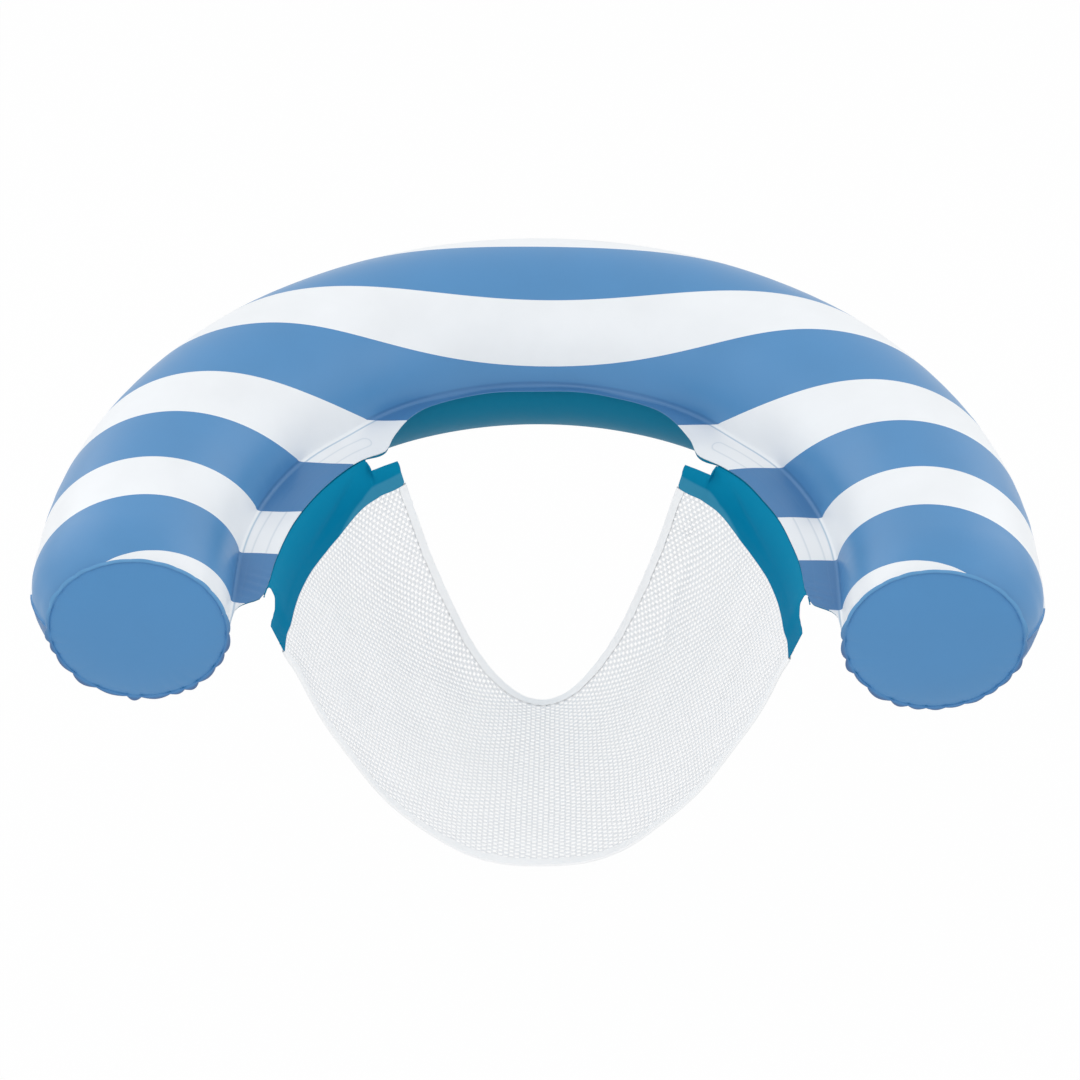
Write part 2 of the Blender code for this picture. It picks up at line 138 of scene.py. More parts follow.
# Vinyl bands: width, the slot above the tab at the rear, the crease and the open notch
BAND_WIDTH = 0.066
BAND_WIDTH_SHARES = (0.535, 0.605, 0.635, 0.680, 0.740, 0.805, 0.868, 0.905, 0.908, 0.895,
                     0.872, 0.862, 0.856, 0.858, 0.868, 0.890, 0.910)
BAND_TRIM = (0.0040, 0.0062, 0.0082)
TAB_CORNER = 0.005
TAB_CORNER_ROWS = 0.32
BAND_LAP_SHARE = 0.7
BAND_ROWS_PER_ROW = 8
BAND_STEPS = 32
MARGIN_STEPS = 5
CREASE_Y = (0.008, 0.062, 0.104, 0.140, 0.161, 0.173)
CREASE_DOWN = (0.047, 0.052, 0.0458, 0.0363, 0.0227, 0.0086)
CREASE_DEPTH = 0.003
CREASE_WIDTH = 0.0085
CREASE_BELOW_TOP = (0.0, 0.010)
CREASE_ABOVE_EDGE = (0.011, 0.026)
CREASE_FRONT_Y = (-0.04, 0.03)
CREASE_REAR_Y = (0.155, 0.172)
CREASE_REAR_LOSS = 0.7
STRIP_Y = (0.115, 0.146, 0.167, 0.176, 0.190)
STRIP_STARTS = (1.02, 0.88, 0.78, 0.62, 0.50)
STRIP_SOFTNESS = 0.07
NOTCH_CURVE = ((-0.0265, -0.0030), (-0.0240, -0.0042), (-0.0210, -0.0091), (-0.0208, -0.0167),
               (-0.0255, -0.0233), (-0.0330, -0.0280), (-0.0420, -0.0278), (-0.0510, -0.0262),
               (-0.0700, -0.0262))
NOTCH_TOP = ((-0.0700, 0.0060), (-0.0410, 0.0060), (-0.0405, -0.0034))
NOTCH_STEPS = 48
NOTCH_REACH = 0.03
SECTION_SAMPLES = 400

# Net: columns of staggered six-sided holes that run from rear to front
NET_THICKNESS = 0.0012
NET_GAP = 0.0007
NET_LAP = 0.010
COLUMN_PITCH = 0.0058
HOLE_PITCH = 0.0050
HOLE_PITCH_MOST = 0.0058
COLUMN_ZIGZAG = 0.0010
HOLE_ACROSS_SHARE = 0.70
HOLE_ALONG_SHARE = 0.45
NET_ROWS = 125
NET_COLUMNS = 601
NET_BEYOND = 0.008
NET_EDGE_MARGIN = 0.001
NET_FREE_REACH = 0.03
LATTICE_SAMPLES = 400

# Folds in the net: points (distance left of the seat's middle line, y), depth, half width
FOLDS = (
    (((0.355, 0.172), (0.300, 0.176), (0.250, 0.172), (0.205, 0.164), (0.180, 0.140)),
     0.0040, 0.0065),
    (((-0.305, 0.116), (-0.230, 0.156), (-0.160, 0.176)), 0.0016, 0.0080),
)
NET_SWELL = 0.0009

# Tape bound round the net's free edges
HEM_WIDTH = 0.0072
HEM_PLY = 0.0006
HEM_ROOM = 0.0004
HEM_WAVE = 0.0005
HEM_WAVE_LENGTH = 0.043
HEM_SAMPLES = 321
HEM_ROUNDING = 0.7
HEM_INWARD = 0.004
HEM_FOLD = (0.0012, 0.0018)
HEM_FOLD_INSIDE = (0.0004, 0.0010)

# Valve: its flange's thickness, the hole under it, and where the skin is laid flat for it
VALVE_FLANGE = 0.0012
VALVE_HOLE = 0.0098
VALVE_HOLE_SIDES = 48
VALVE_CUT_REACH = 0.012
VALVE_FLAT = (0.019, 0.036)

# Stripes: where they start, counted from the open front, on the printed sheet laid flat
STRIPE_EDGES = (-0.0515, 0.026, 0.0965, 0.180, 0.2545, 0.346, 0.417, 0.499)
PRINT_TURN = 0.235
PRINT_DRAWN = 0.0036
PRINT_DRAWN_REACH = 0.035
PRINT_SLANT = 0.13
PRINT_SLANT_AT = (44, 8)

# Slate rim of the lower skin: it sets in along the arms and, round the tube, below the weld
RIM_FORWARD = (0.040, 0.065)
RIM_TURN = (pi - 0.95, pi - 0.70)

# Line embossed beside the weld, and the long loop embossed on the web
WELD_LINE_INSET = 0.0035
LINE_WIDTH = 0.0015
LINE_DEPTH = 0.00005
LOOP_PLACE_SHARE = 0.50
LOOP_HALF_WIDTH = 0.0073
LOOP_REAR_DEGREES = 41.5
LOOP_FRONT = 0.045
WELD_ARC_RADIUS = hypot(INNER_HALF_WIDTH, INNER_BACK_DEPTH) / 2 ** 0.5

# Vinyl film: the depth of its grain, how it refracts, and the edges that stay sharp
VINYL_GRAIN = 0.00003
VINYL_IOR = 1.48
SHARP_DEGREES = 45

# Heights of the stacked plies at the web
PLY_FACE = LAP_GAP / 2
SKIN_FACE = PLY_FACE + FILM
BAND_TOP = -(PLY_FACE + FILM + LAP_GAP)
BAND_UNDERSIDE = BAND_TOP - FILM

# Camera and stage
CAMERA_TARGET = Vector((0, 0.053, 0))
CAMERA_DISTANCE = 3.2
CAMERA_ELEVATION = 39.05
CAMERA_YAW = 1.2
CAMERA_LENS = 103.72
CAMERA_SHIFT = 0.00139
SENSOR_WIDTH = 36.0
FLOOR_HEIGHT = -0.9
FLOOR_REACH = 30.0
FLOOR_WHITE = 0.96
WORLD_TINT = (0.985, 0.993, 1, 1)
WORLD_LIGHT = 0.775

# Lamps: name, place, side of the square, power in watts
LAMPS = (("key", (-1.1, -1.9, 2.5), 2.4, 21.0),
         ("right_fill", (2.4, -1.2, 1.9), 1.8, 8.0),
         ("left_rim", (-2.6, 1.6, 1.4), 2.6, 19.0),
         ("right_rim", (2.6, 1.6, 1.4), 2.6, 17.0))

Section = namedtuple("Section", "degrees forward point outward radius over_web width out high turn")


def colour(red, green, blue):
    """Turn a colour of 0 to 255 steps into the renderer's linear colour."""
    steps = [value / 255 for value in (red, green, blue)]
    return (*(v / 12.92 if v < 0.04045 else ((v + 0.055) / 1.055) ** 2.4 for v in steps), 1)


def smooth_path(x, places, values):
    """Interpolate without overshoot: a cubic through the places with flat turning points."""
    places, values = np.array(places, float), np.array(values, float)
    gaps, slopes = np.diff(places), np.diff(values) / np.diff(places)
    tangents = np.concatenate(([slopes[0]], np.zeros(len(slopes) - 1), [slopes[-1]]))
    for i in range(1, len(slopes)):
        if slopes[i - 1] * slopes[i] > 0:
            tangents[i] = 2 / (1 / slopes[i - 1] + 1 / slopes[i])
    x = np.clip(x, places[0], places[-1])
    i = np.clip(np.searchsorted(places, x, side="right") - 1, 0, len(gaps) - 1)
    t = (x - places[i]) / gaps[i]
    rise = (1 + 2 * t) * (1 - t) ** 2 * values[i] + t * t * (3 - 2 * t) * values[i + 1]
    lean = t * (1 - t) ** 2 * tangents[i] - t * t * (1 - t) * tangents[i + 1]
    return rise + gaps[i] * lean


def ease(value, low, high):
    """Return 0 below low, 1 above high, and a smooth step between them."""
    t = np.clip((value - low) / (high - low), 0, 1)
    return t * t * (3 - 2 * t)


def hump(value, place, spread):
    """Return 1 at a place and less and less beside it."""
    return np.exp(-((value - place) / spread) ** 2)


def ripple(distance, wave, seed):
    """Return an uneven wave between about -1 and 1 along a distance."""
    phases = np.random.default_rng(seed).uniform(0, 2 * pi, 3)
    turn = 2 * pi * distance / wave
    return (0.5 * np.sin(turn + phases[0]) + 0.3 * np.sin(0.62 * turn + phases[1])
            + 0.2 * np.sin(1.71 * turn + phases[2]))


def weld_pull(degrees):
    """Return how far the inner weld is pulled into the seat where the band's rear end hangs."""
    return WELD_PULL * float(hump(abs(degrees), *WELD_PULL_AT))


def spoke_at(degrees):
    """Return the inner weld's oval at an angle, from its middle."""
    angle = radians(degrees)
    return np.array((INNER_HALF_WIDTH * sin(angle), INNER_BACK_DEPTH * cos(angle)))


def weld_frame(degrees, forward):
    """Return the inner weld's point, its direction out of the seat, and the tube's radius."""
    angle = radians(degrees)
    outward = np.array((sin(angle) / INNER_HALF_WIDTH, cos(angle) / INNER_BACK_DEPTH))
    outward /= hypot(*outward)
    radius = TUBE_RADIUS_ARM + (TUBE_RADIUS_BACK - TUBE_RADIUS_ARM) * cos(angle) ** 2
    into = max(0.0, forward - ARM_LENGTH + END_TAPER) / END_TAPER
    drawn_in = (TUBE_RADIUS_ARM - TUBE_RADIUS_END) * into ** 2
    pull = weld_pull(degrees)
    point = spoke_at(degrees) - (0, forward) + outward * (drawn_in * END_TUCK_SHARE - pull)
    return point, outward, radius - drawn_in + pull / 2


def web_edge(degrees, forward):
    """Return the free edge of the web that belongs to a place along the weld."""
    point, outward = weld_frame(degrees, forward)[:2]
    point = point + outward * weld_pull(degrees)
    spoke = spoke_at(degrees)
    share = smooth_path(abs(degrees), BACK_WEB_DEGREES, BACK_WEB_SHARES)
    if forward > 0:
        share = smooth_path(forward / ARM_LENGTH, ARM_WEB_PLACE_SHARES, ARM_WEB_SHARES)
    width = max(LEAST_WEB, hypot(*spoke) * (1 - share))
    return point - spoke / hypot(*spoke) * width


def web_lift(x, y, share):
    """Return how far the slack web stands up; share is 0 at the weld and 1 at the edge.

    The waves' numbers are radians per metre.
    """
    wave = np.sin(x * 61 + y * 37) + np.sin(y * 83 - x * 29 + 1.3)
    crumple = np.sin(y * 520 + x * 230) * hump(y, *WEB_CRUMPLE_AT)
    return WEB_WAVE * (wave + crumple * WEB_CRUMPLE) * ease(share, 0, 0.8)


def tube_stations():
    """List (degrees, distance forward, flare) along the weld, from one arm to the other."""
    degrees = np.linspace(-90, 90, BACK_STEPS + 1)
    arm = ARM_LENGTH * (np.arange(ARM_STEPS) + 1) / ARM_STEPS
    flare = (np.arange(FLARE_STEPS) + 1) / FLARE_STEPS
    stations = [(-90, ARM_LENGTH, share) for share in flare[::-1]]
    stations += [(-90, forward, 0) for forward in arm[::-1]]
    stations += [(angle, 0, 0) for angle in degrees]
    stations += [(90, forward, 0) for forward in arm]
    return stations + [(90, ARM_LENGTH, share) for share in flare]


def lobes(side):
    """Return the uneven lobes of one cap's flange: where each starts, and how deep it is."""
    chance = np.random.default_rng(7 + side)
    widths = 1 + LOBE_WIDTH_SPREAD * chance.uniform(-1, 1, CAP_SCALLOPS)
    starts = np.concatenate(([0], np.cumsum(widths))) / widths.sum() * 2 * pi
    return starts, 1 + LOBE_DEPTH_SPREAD * chance.uniform(-1, 1, CAP_SCALLOPS)


def ruffle(turn, side):
    """Return how full the flange is at an angle round the cap, 0 in a tuck and 1 in a lobe.

    The tucks are shallower above.
    """
    starts, depths = lobes(side)
    turn = np.mod(turn, 2 * pi)
    i = np.clip(np.searchsorted(starts, turn, side="right") - 1, 0, CAP_SCALLOPS - 1)
    way = (turn - starts[i]) / (starts[i + 1] - starts[i])
    full = depths[i] * np.clip(np.sin(pi * way), 0, 1) ** LOBE_ROUNDING
    below = ease(-np.cos(turn), -0.6, 0.6)
    return 1 - (1 - full) * (UPPER_TUCK_SHARE + (1 - UPPER_TUCK_SHARE) * below)


def end_lean(out, radius, forward):
    """Return how far forward an arm leans towards its end, most on its outer side."""
    return END_LEAN * np.clip(out / (2 * radius), 0, 1) * (forward / ARM_LENGTH) ** 2


def tube_section(side, degrees, forward):
    """Return one cross-section of a skin's outer face: web, fillet, tube, fillet and flange.

    Out is the distance from the inner weld, and turn the angle round the tube, 0 on the web.
    """
    point, outward, radius = weld_frame(degrees, forward)
    across = point - web_edge(degrees, forward)
    width = hypot(*across)
    if side < 0:
        width += LOWER_PLY_SHOWS * hump(abs(degrees), *LOWER_PLY_SHOWS_AT) - LOWER_PLY_SHORT
    bend = min(INNER_FILLET, width / 2)
    first = np.arcsin((SKIN_FACE + INNER_FILLET) / radius)
    last = np.arcsin((SKIN_FACE + OUTER_FILLET) / radius)
    quarter = [pi / 2 * step / FILLET_STEPS for step in range(1, FILLET_STEPS + 1)]
    narrow = ease(abs(degrees), *FLANGE_NARROWS_AT)
    flange = WELD_FLANGE + (OUTER_FLANGE_ARM - WELD_FLANGE) * narrow
    rows = [(-(width - bend) * (1 - t) - bend, SKIN_FACE, 0)
            for t in np.linspace(0, 1, WEB_STEPS + 1)]
    rows += [(-bend * (1 - sin(angle)), SKIN_FACE + INNER_FILLET * (1 - cos(angle)), 0)
             for angle in quarter]
    rows += [(radius * (1 - cos(angle)), radius * sin(angle), angle)
             for angle in np.linspace(first, pi - last, ROUND_STEPS + 1)[1:]]
    rows += [(2 * radius + OUTER_FILLET * (1 - cos(angle)),
              SKIN_FACE + OUTER_FILLET * (1 - sin(angle)), pi) for angle in quarter]
    rows += [(2 * radius + OUTER_FILLET + (flange - OUTER_FILLET) * step / FLANGE_STEPS,
              SKIN_FACE, pi) for step in range(1, FLANGE_STEPS + 1)]
    return Section(degrees, forward, point, outward, radius, across / hypot(*across), width,
                   *np.array(rows, float).T)


def weld_swell(side, section, run):
    """Return how far the tube's film stands out in the puckers beside its two welds."""
    near, far = section.radius * section.turn, section.radius * (pi - section.turn)
    inner = ease(near, *INNER_PUCKER_STARTS) * np.exp(-near / INNER_PUCKER_REACH)
    outer = ease(far, *OUTER_PUCKER_STARTS) * np.exp(-far / OUTER_PUCKER_REACH)
    return (INNER_PUCKER * inner * ripple(run, INNER_PUCKER_WAVE, 3 + side)
            + OUTER_PUCKER * outer * ripple(run, OUTER_PUCKER_WAVE, 9))


def skin_points(side, section, flare, run):
    """Return a section's points, with the waves of its web, its puckers and its flared end."""
    radius, out, turn = section.radius, section.out, section.turn
    on_web = turn == 0
    on_tube = (turn > 0) & (turn < pi)
    way = np.where(on_web[:, None], section.over_web, section.outward)
    place = section.point + out[:, None] * way
    lift = web_lift(place[:, 0], place[:, 1], np.clip(-out / section.width, 0, 1)) * on_web
    flat = side * section.high + lift
    cap_side = 1 if section.degrees > 0 else -1
    around = np.arctan2(cap_side * (out - radius), flat)
    tuck = 1 - ruffle(around, cap_side)
    swell = weld_swell(side, section, run)
    if abs(section.degrees) == 90:
        to_end = ARM_LENGTH - section.forward
        swell -= CAP_PUCKER * tuck * np.exp(-to_end / CAP_PUCKER_REACH)
    swell = swell * on_tube
    on_flange = ease(out, 2 * radius, 2 * radius + WELD_FLANGE)
    wave = FLANGE_WAVE * ripple(run, OUTER_PUCKER_WAVE, 9) * on_flange
    x = place[:, 0] - section.outward[0] * np.cos(turn) * swell
    y = place[:, 1] - section.outward[1] * np.cos(turn) * swell
    y = y - end_lean(out, radius, section.forward)
    z = flat + side * np.sin(turn) * swell + wave
    if flare > 0:
        reach = flare * (CAP_FLANGE - SKIN_FLANGE_SHORT - SCALLOP_DEPTH * tuck)
        reach = reach * (1 - ease(np.abs(out - radius), radius, radius + OUTER_FILLET))
        x = x + cap_side * np.sin(np.abs(around)) * np.sign(out - radius) * reach
        y = y + (SCALLOP_CURL * tuck * flare - FILM) / 2
        z = z + np.cos(around) * reach * on_tube
    return np.stack((x, y, z), axis=1)


def skin_values(section):
    """Return what the print, the embossed lines and the rim need at a section's points."""
    degrees, forward, out, turn = section.degrees, section.forward, section.out, section.turn
    on_web = turn == 0
    slope = section.outward[1] + PRINT_TURN * sin(radians(degrees)) ** 2
    rise = (section.high - SKIN_FACE) * (1 + SKIN_FACE / INNER_FILLET)
    slant = PRINT_SLANT * hump(abs(degrees), *PRINT_SLANT_AT) * np.maximum(-out, 0)
    web_place = section.point[1] + out * section.over_web[1] + slope * rise + slant
    round_run = weld_frame(degrees, 0)[2] * turn
    printed = np.where(on_web, web_place, section.point[1] + slope * round_run)
    printed += PRINT_DRAWN * np.exp(-round_run / PRINT_DRAWN_REACH)
    printed -= end_lean(out, section.radius, forward)
    inset = np.where(on_web, -out, 1.0)
    along = np.full(len(out), WELD_ARC_RADIUS * radians(abs(degrees)) + forward)
    end_rim = ease(forward, *RIM_FORWARD) * ease(turn, *RIM_TURN)
    return np.stack((printed, inset, inset - LOOP_PLACE_SHARE * section.width, along, end_rim),
                    axis=1)


def skin_grid(side):
    """Return the outer face of a skin as a grid of points, with the values of its finish."""
    grid, values = [], []
    run = 0.0
    before = None
    for degrees, forward, flare in tube_stations():
        section = tube_section(side, degrees, forward)
        middle = section.point + section.outward * section.radius
        if before is not None:
            run += hypot(*(middle - before))
        before = middle
        grid.append(skin_points(side, section, flare, run))
        values.append(skin_values(section))
    return np.array(grid), np.array(values)


def new_mesh(name, points, faces):
    """Return a new mesh of points and faces."""
    mesh = bpy.data.meshes.new(name)
    mesh.from_pydata(points, [], faces)
    return mesh


def new_object(name, data):
    """Put a new object into the scene."""
    made = bpy.data.objects.new(name, data)
    bpy.context.scene.collection.objects.link(made)
    return made


def edge_faces(loops, count):
    """Return the faces that close a film's border, its second side counted from count."""
    border = {}
    for loop in loops:
        for start, end in zip(loop, loop[1:] + loop[:1]):
            if (end, start) in border:
                del border[(end, start)]
            else:
                border[(start, end)] = True
    return [(end, start, start + count, end + count) for start, end in border]


def grid_normals(grid, wrap=False):
    """Return a grid's normals; where a row is a single point, they follow the row beside it."""
    right = np.gradient(grid, axis=1)
    if wrap:
        right = (np.roll(grid, -1, axis=1) - np.roll(grid, 1, axis=1)) / 2
    normal = np.cross(np.gradient(grid, axis=0), right)
    length = np.linalg.norm(normal, axis=2, keepdims=True)
    normal = normal / np.where(length > 1e-12, length, 1)
    for row in np.flatnonzero((length[..., 0] < 1e-12).all(axis=1)):
        beside = normal[1 if row == 0 else row - 1].mean(axis=0)
        normal[row] = beside / np.linalg.norm(beside)
    return normal


def film(name, grid, thickness, values, keep=None, wrap=False):
    """Close a grid of points into a film of a thickness, with its values as attributes.

    The grid is the face that is seen; the film lies below it, against its normals.
    """
    near = grid.reshape(-1, 3)
    far = (grid - thickness * grid_normals(grid, wrap)).reshape(-1, 3)
    count = len(near)
    index = np.arange(count).reshape(grid.shape[:2])
    after = np.roll(index, -1, axis=1) if wrap else index[:, 1:]
    index = index if wrap else index[:, :-1]
    quads = np.stack((index[:-1], after[:-1], after[1:], index[1:]), axis=2)
    if keep is not None:
        quads = quads[keep]
    quads = quads.reshape(-1, 4)
    faces = quads.tolist() + (quads[:, ::-1] + count).tolist()
    faces += edge_faces(quads.tolist(), count)
    mesh = new_mesh(name, np.concatenate((near, far)).tolist(), faces)
    for key, value in values.items():
        layer = mesh.attributes.new(key, "FLOAT", "POINT")
        flat = np.tile(np.asarray(value, float).reshape(-1), 2)
        layer.data.foreach_set("value", flat.astype(np.float32))
    return finish_mesh(name, mesh)


@contextmanager
def shape_of(mesh):
    """Open a mesh's shape for changes and write it back."""
    shape = bmesh.new()
    shape.from_mesh(mesh)
    yield shape
    shape.to_mesh(mesh)
    shape.free()


def finish_mesh(name, mesh):
    """Clean a mesh, turn its faces outwards, smooth it and put it into the scene."""
    with shape_of(mesh) as shape:
        bmesh.ops.remove_doubles(shape, verts=shape.verts, dist=1e-6)
        loose = [vert for vert in shape.verts if not vert.link_faces]
        bmesh.ops.delete(shape, geom=loose, context="VERTS")
        bmesh.ops.recalc_face_normals(shape, faces=shape.faces)
    mesh.shade_smooth()
    mesh.set_sharp_from_angle(angle=radians(SHARP_DEGREES))
    return new_object(name, mesh)


def cut_valve_hole(target):
    """Cut the round hole for the valve."""
    mesh = bpy.data.meshes.new(target.name + "_cut")
    with shape_of(mesh) as shape:
        bmesh.ops.create_cone(shape, cap_ends=True, segments=VALVE_HOLE_SIDES,
                              radius1=VALVE_HOLE, radius2=VALVE_HOLE, depth=2 * VALVE_CUT_REACH)
    cut_away(target, mesh, valve_matrix())


def cut_away(target, mesh, matrix):
    """Cut a closed mesh out of a piece and apply the cut."""
    cutter = new_object(mesh.name, mesh)
    cutter.matrix_world = matrix
    change = target.modifiers.new("cut", "BOOLEAN")
    change.operation = "DIFFERENCE"
    change.solver = "EXACT"
    change.object = cutter
    graph = bpy.context.evaluated_depsgraph_get()
    made = bpy.data.meshes.new_from_object(target.evaluated_get(graph))
    target.modifiers.clear()
    target.data = made
    bpy.data.objects.remove(cutter)
    bpy.data.meshes.remove(mesh)


def valve_matrix():
    """Return the valve's frame: its middle on the skin's outer face, +Z out of the tube."""
    faces = {mount["name"]: mount for mount in frame["record"]["mounts"]}
    out = Vector(faces["valve_flange_face"]["axis"])
    low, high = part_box("valve_flange")
    middle = (low + high) / 2 - out * (LAP_GAP + VALVE_FLANGE / 2)
    return Matrix.Translation(middle) @ out.to_track_quat("Z", "X").to_matrix().to_4x4()


def flatten_at_valve(grid, matrix):
    """Lay the skin flat under the valve's flange, as its weld does."""
    inverse = np.array(matrix.inverted())
    local = grid @ inverse[:3, :3].T + inverse[:3, 3]
    away = np.hypot(local[..., 0], local[..., 1])
    near = (1 - ease(away, *VALVE_FLAT)) * (np.abs(local[..., 2]) < VALVE_FLAT[1] / 2)
    local[..., 2] *= 1 - near
    turned = np.array(matrix)
    return local @ turned[:3, :3].T + turned[:3, 3]


def make_skin(name, node, side, finish):
    """Make one skin of the tube with its ply of the web."""
    grid, values = skin_grid(side)
    if side < 0:
        grid = flatten_at_valve(grid, valve_matrix())
        grid, values = grid[:, ::-1], values[:, ::-1]
    names = ("print_place", "weld_inset", "loop_across", "loop_along", "end_rim")
    made = film(name, grid, FILM, {key: values[..., i] for i, key in enumerate(names)})
    if side < 0:
        cut_valve_hole(made)
    return dress(made, node, finish)


def dress(piece, node, finish):
    """Give a piece its material and its body, and hide the CAD node that it stands for."""
    piece.data.materials.clear()
    piece.data.materials.append(finish)
    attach(piece, "float")
    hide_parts(node)
    return piece


def cap_rings(radius, full):
    """List a cap's rings: distance from its middle, place forward, and share of its flange.

    The disc's rings lie closer towards its rim.
    """
    plane = -ARM_LENGTH - CAP_SETBACK
    shares = np.concatenate((np.linspace(0, 0.8, 9), np.linspace(0.83, 0.96, 5),
                             np.linspace(0.965, 1, 8)))
    rings = []
    for share in shares:
        across = radius * share
        dome = CAP_DOME * (1 - share ** CAP_DOME_POWER)
        pucker = CAP_PUCKER * (1 - full) * np.exp(-(radius - across) / CAP_PUCKER_REACH)
        crease = CAP_CREASE * hump(across, radius, CAP_CREASE_WIDTH)
        front = plane - dome + pucker * (share > 0) + crease
        rings.append((across, front, (across - radius) / CAP_FLANGE))
    for share in np.linspace(0, 1, CAP_FLANGE_STEPS + 1)[1:]:
        across = radius + share * (CAP_FLANGE - SCALLOP_DEPTH * (1 - full))
        curl = SCALLOP_CURL * (1 - full) * share ** 2 / 2
        hollow = CAP_FLANGE_HOLLOW * np.sin(pi * share)
        rings.append((across, plane + CAP_CREASE * (1 - share) + curl - hollow, share))
    return rings


def make_cap(name, node, side, finish):
    """Make one arm's end cap: a domed disc and its ruffled flange."""
    point, outward, radius = weld_frame(90 * side, ARM_LENGTH)
    middle = point + outward * radius
    starts = lobes(side)[0]
    turns = np.concatenate([np.linspace(first, last, LOBE_STEPS, endpoint=False)
                            for first, last in zip(starts[:-1], starts[1:])])
    rings = cap_rings(radius, ruffle(turns, side))
    grid = []
    for across, front, _ in rings:
        lean = end_lean(radius + side * across * np.sin(turns), radius, ARM_LENGTH)
        grid.append(np.stack((middle[0] + across * np.sin(turns), front - lean,
                              across * np.cos(turns)), axis=1))
    in_flange = np.array([ring[2] for ring in rings])
    values = {"in_flange": np.repeat(in_flange[:, None], len(turns), axis=1),
              "cap_high": np.repeat(np.cos(turns)[None, ::-1], len(rings), axis=0)}
    made = film(name, np.array(grid)[:, ::-1], FILM, values, wrap=True)
    return dress(made, node, finish)


def seat_table():
    """Return the seat's rows from rear to front: hang x and y, weld x and y, and body y.

    A row hangs from its hang point and its body lies at its body y.
    """
    front = (INNER_HALF_WIDTH * SEAT_FRONT_SHARE, -SEAT_FRONT)
    stations = [(degrees, 0, body) for degrees, body in SLOT_ROWS]
    stations += [(degrees, 0, None) for degrees in SIDE_ROW_DEGREES]
    stations += [(90, ARM_LENGTH * share, None) for share in ARM_ROW_SHARES]
    rows = [(x, y, x, y, y) for x, y in REAR_ROWS]
    for degrees, forward, body in stations:
        x, y = web_edge(degrees, forward)
        rows.append((x, y, *weld_frame(degrees, forward)[0], y if body is None else body))
    return np.array(rows + [(*front, *front, -SEAT_FRONT)])


SEAT_ROWS = seat_table()
ROW_NUMBERS = np.arange(len(SEAT_ROWS))
FIRST_WEB_ROW = len(REAR_ROWS)
LAST_WEB_ROW = len(SEAT_ROWS) - 2
REAR_Y = SEAT_ROWS[0, 4]


def row_value(number, column):
    """Return a value of the seat's table between its rows."""
    return float(smooth_path(number, ROW_NUMBERS, SEAT_ROWS[:, column]))


def seat_row(number):
    """Return a row of the seat between the listed rows: half width, body y and band width."""
    band = BAND_WIDTH * smooth_path(number, ROW_NUMBERS, BAND_WIDTH_SHARES)
    return row_value(number, 0), row_value(number, 4), float(band)


def row_at(y):
    """Return the number of the row at a place from rear to front."""
    low, high = 0.0, float(ROW_NUMBERS[-1])
    for _ in range(24):
        middle = (low + high) / 2
        if row_value(middle, 4) > y:
            low = middle
        else:
            high = middle
    return (low + high) / 2


def seat_section(half_width, y):
    """Sample one row's section from the left hang point to the right: places and distance."""
    way = (REAR_Y - y) / (REAR_Y + SEAT_FRONT)
    depth = SEAT_DEPTH_REAR + (SEAT_DEPTH_FRONT - SEAT_DEPTH_REAR) * way
    filled = REAR_SECTION_SHARE + (FRONT_SECTION_SHARE - REAR_SECTION_SHARE) * way
    power = filled / (1 - filled)
    across = np.linspace(1, -1, SECTION_SAMPLES + 1)
    x = half_width * across
    z = BAND_UNDERSIDE - depth * (1 - np.abs(across) ** power)
    run = np.concatenate(([0], np.cumsum(np.hypot(np.diff(x), np.diff(z)))))
    return x, z, run


def surface_normals(grid):
    """Return a grid's normals, on the side of the sitter."""
    normal = grid_normals(grid)
    return normal * np.where(normal[..., 2:] < 0, -1, 1)


def band_row_numbers():
    """List the band's rows: closer at the tab's corner and round the slot's end."""
    quarter = np.linspace(0, pi / 2, 13)
    corner = TAB_CORNER_ROWS * (1 - np.cos(quarter))
    rear = np.linspace(TAB_CORNER_ROWS, 2, 13)[1:]
    slot = 2 + np.sin(quarter)[1:]
    last = len(SEAT_ROWS) - 1
    rest = np.linspace(3, last, BAND_ROWS_PER_ROW * (last - 3) + 1)[1:]
    return np.concatenate((corner, rear, slot, rest))


def band_trim(number):
    """Return how far the band's upper edge lies below the hang point, for the slot."""
    if number <= 2:
        return float(smooth_path(number, (0, 1, 2), BAND_TRIM))
    return BAND_TRIM[2] * max(0.0, 1 - (number - 2) ** 2) ** 0.5


def crease_depth(distances, lower, y):
    """Return how deep a band's crease is down one row; it fades out towards its ends."""
    crease = CREASE_DEPTH * hump(distances, np.interp(y, CREASE_Y, CREASE_DOWN), CREASE_WIDTH)
    crease = crease * ease(distances, *CREASE_BELOW_TOP)
    crease = crease * ease(lower - distances, *CREASE_ABOVE_EDGE)
    return crease * ease(y, *CREASE_FRONT_Y) * (1 - CREASE_REAR_LOSS * ease(y, *CREASE_REAR_Y))


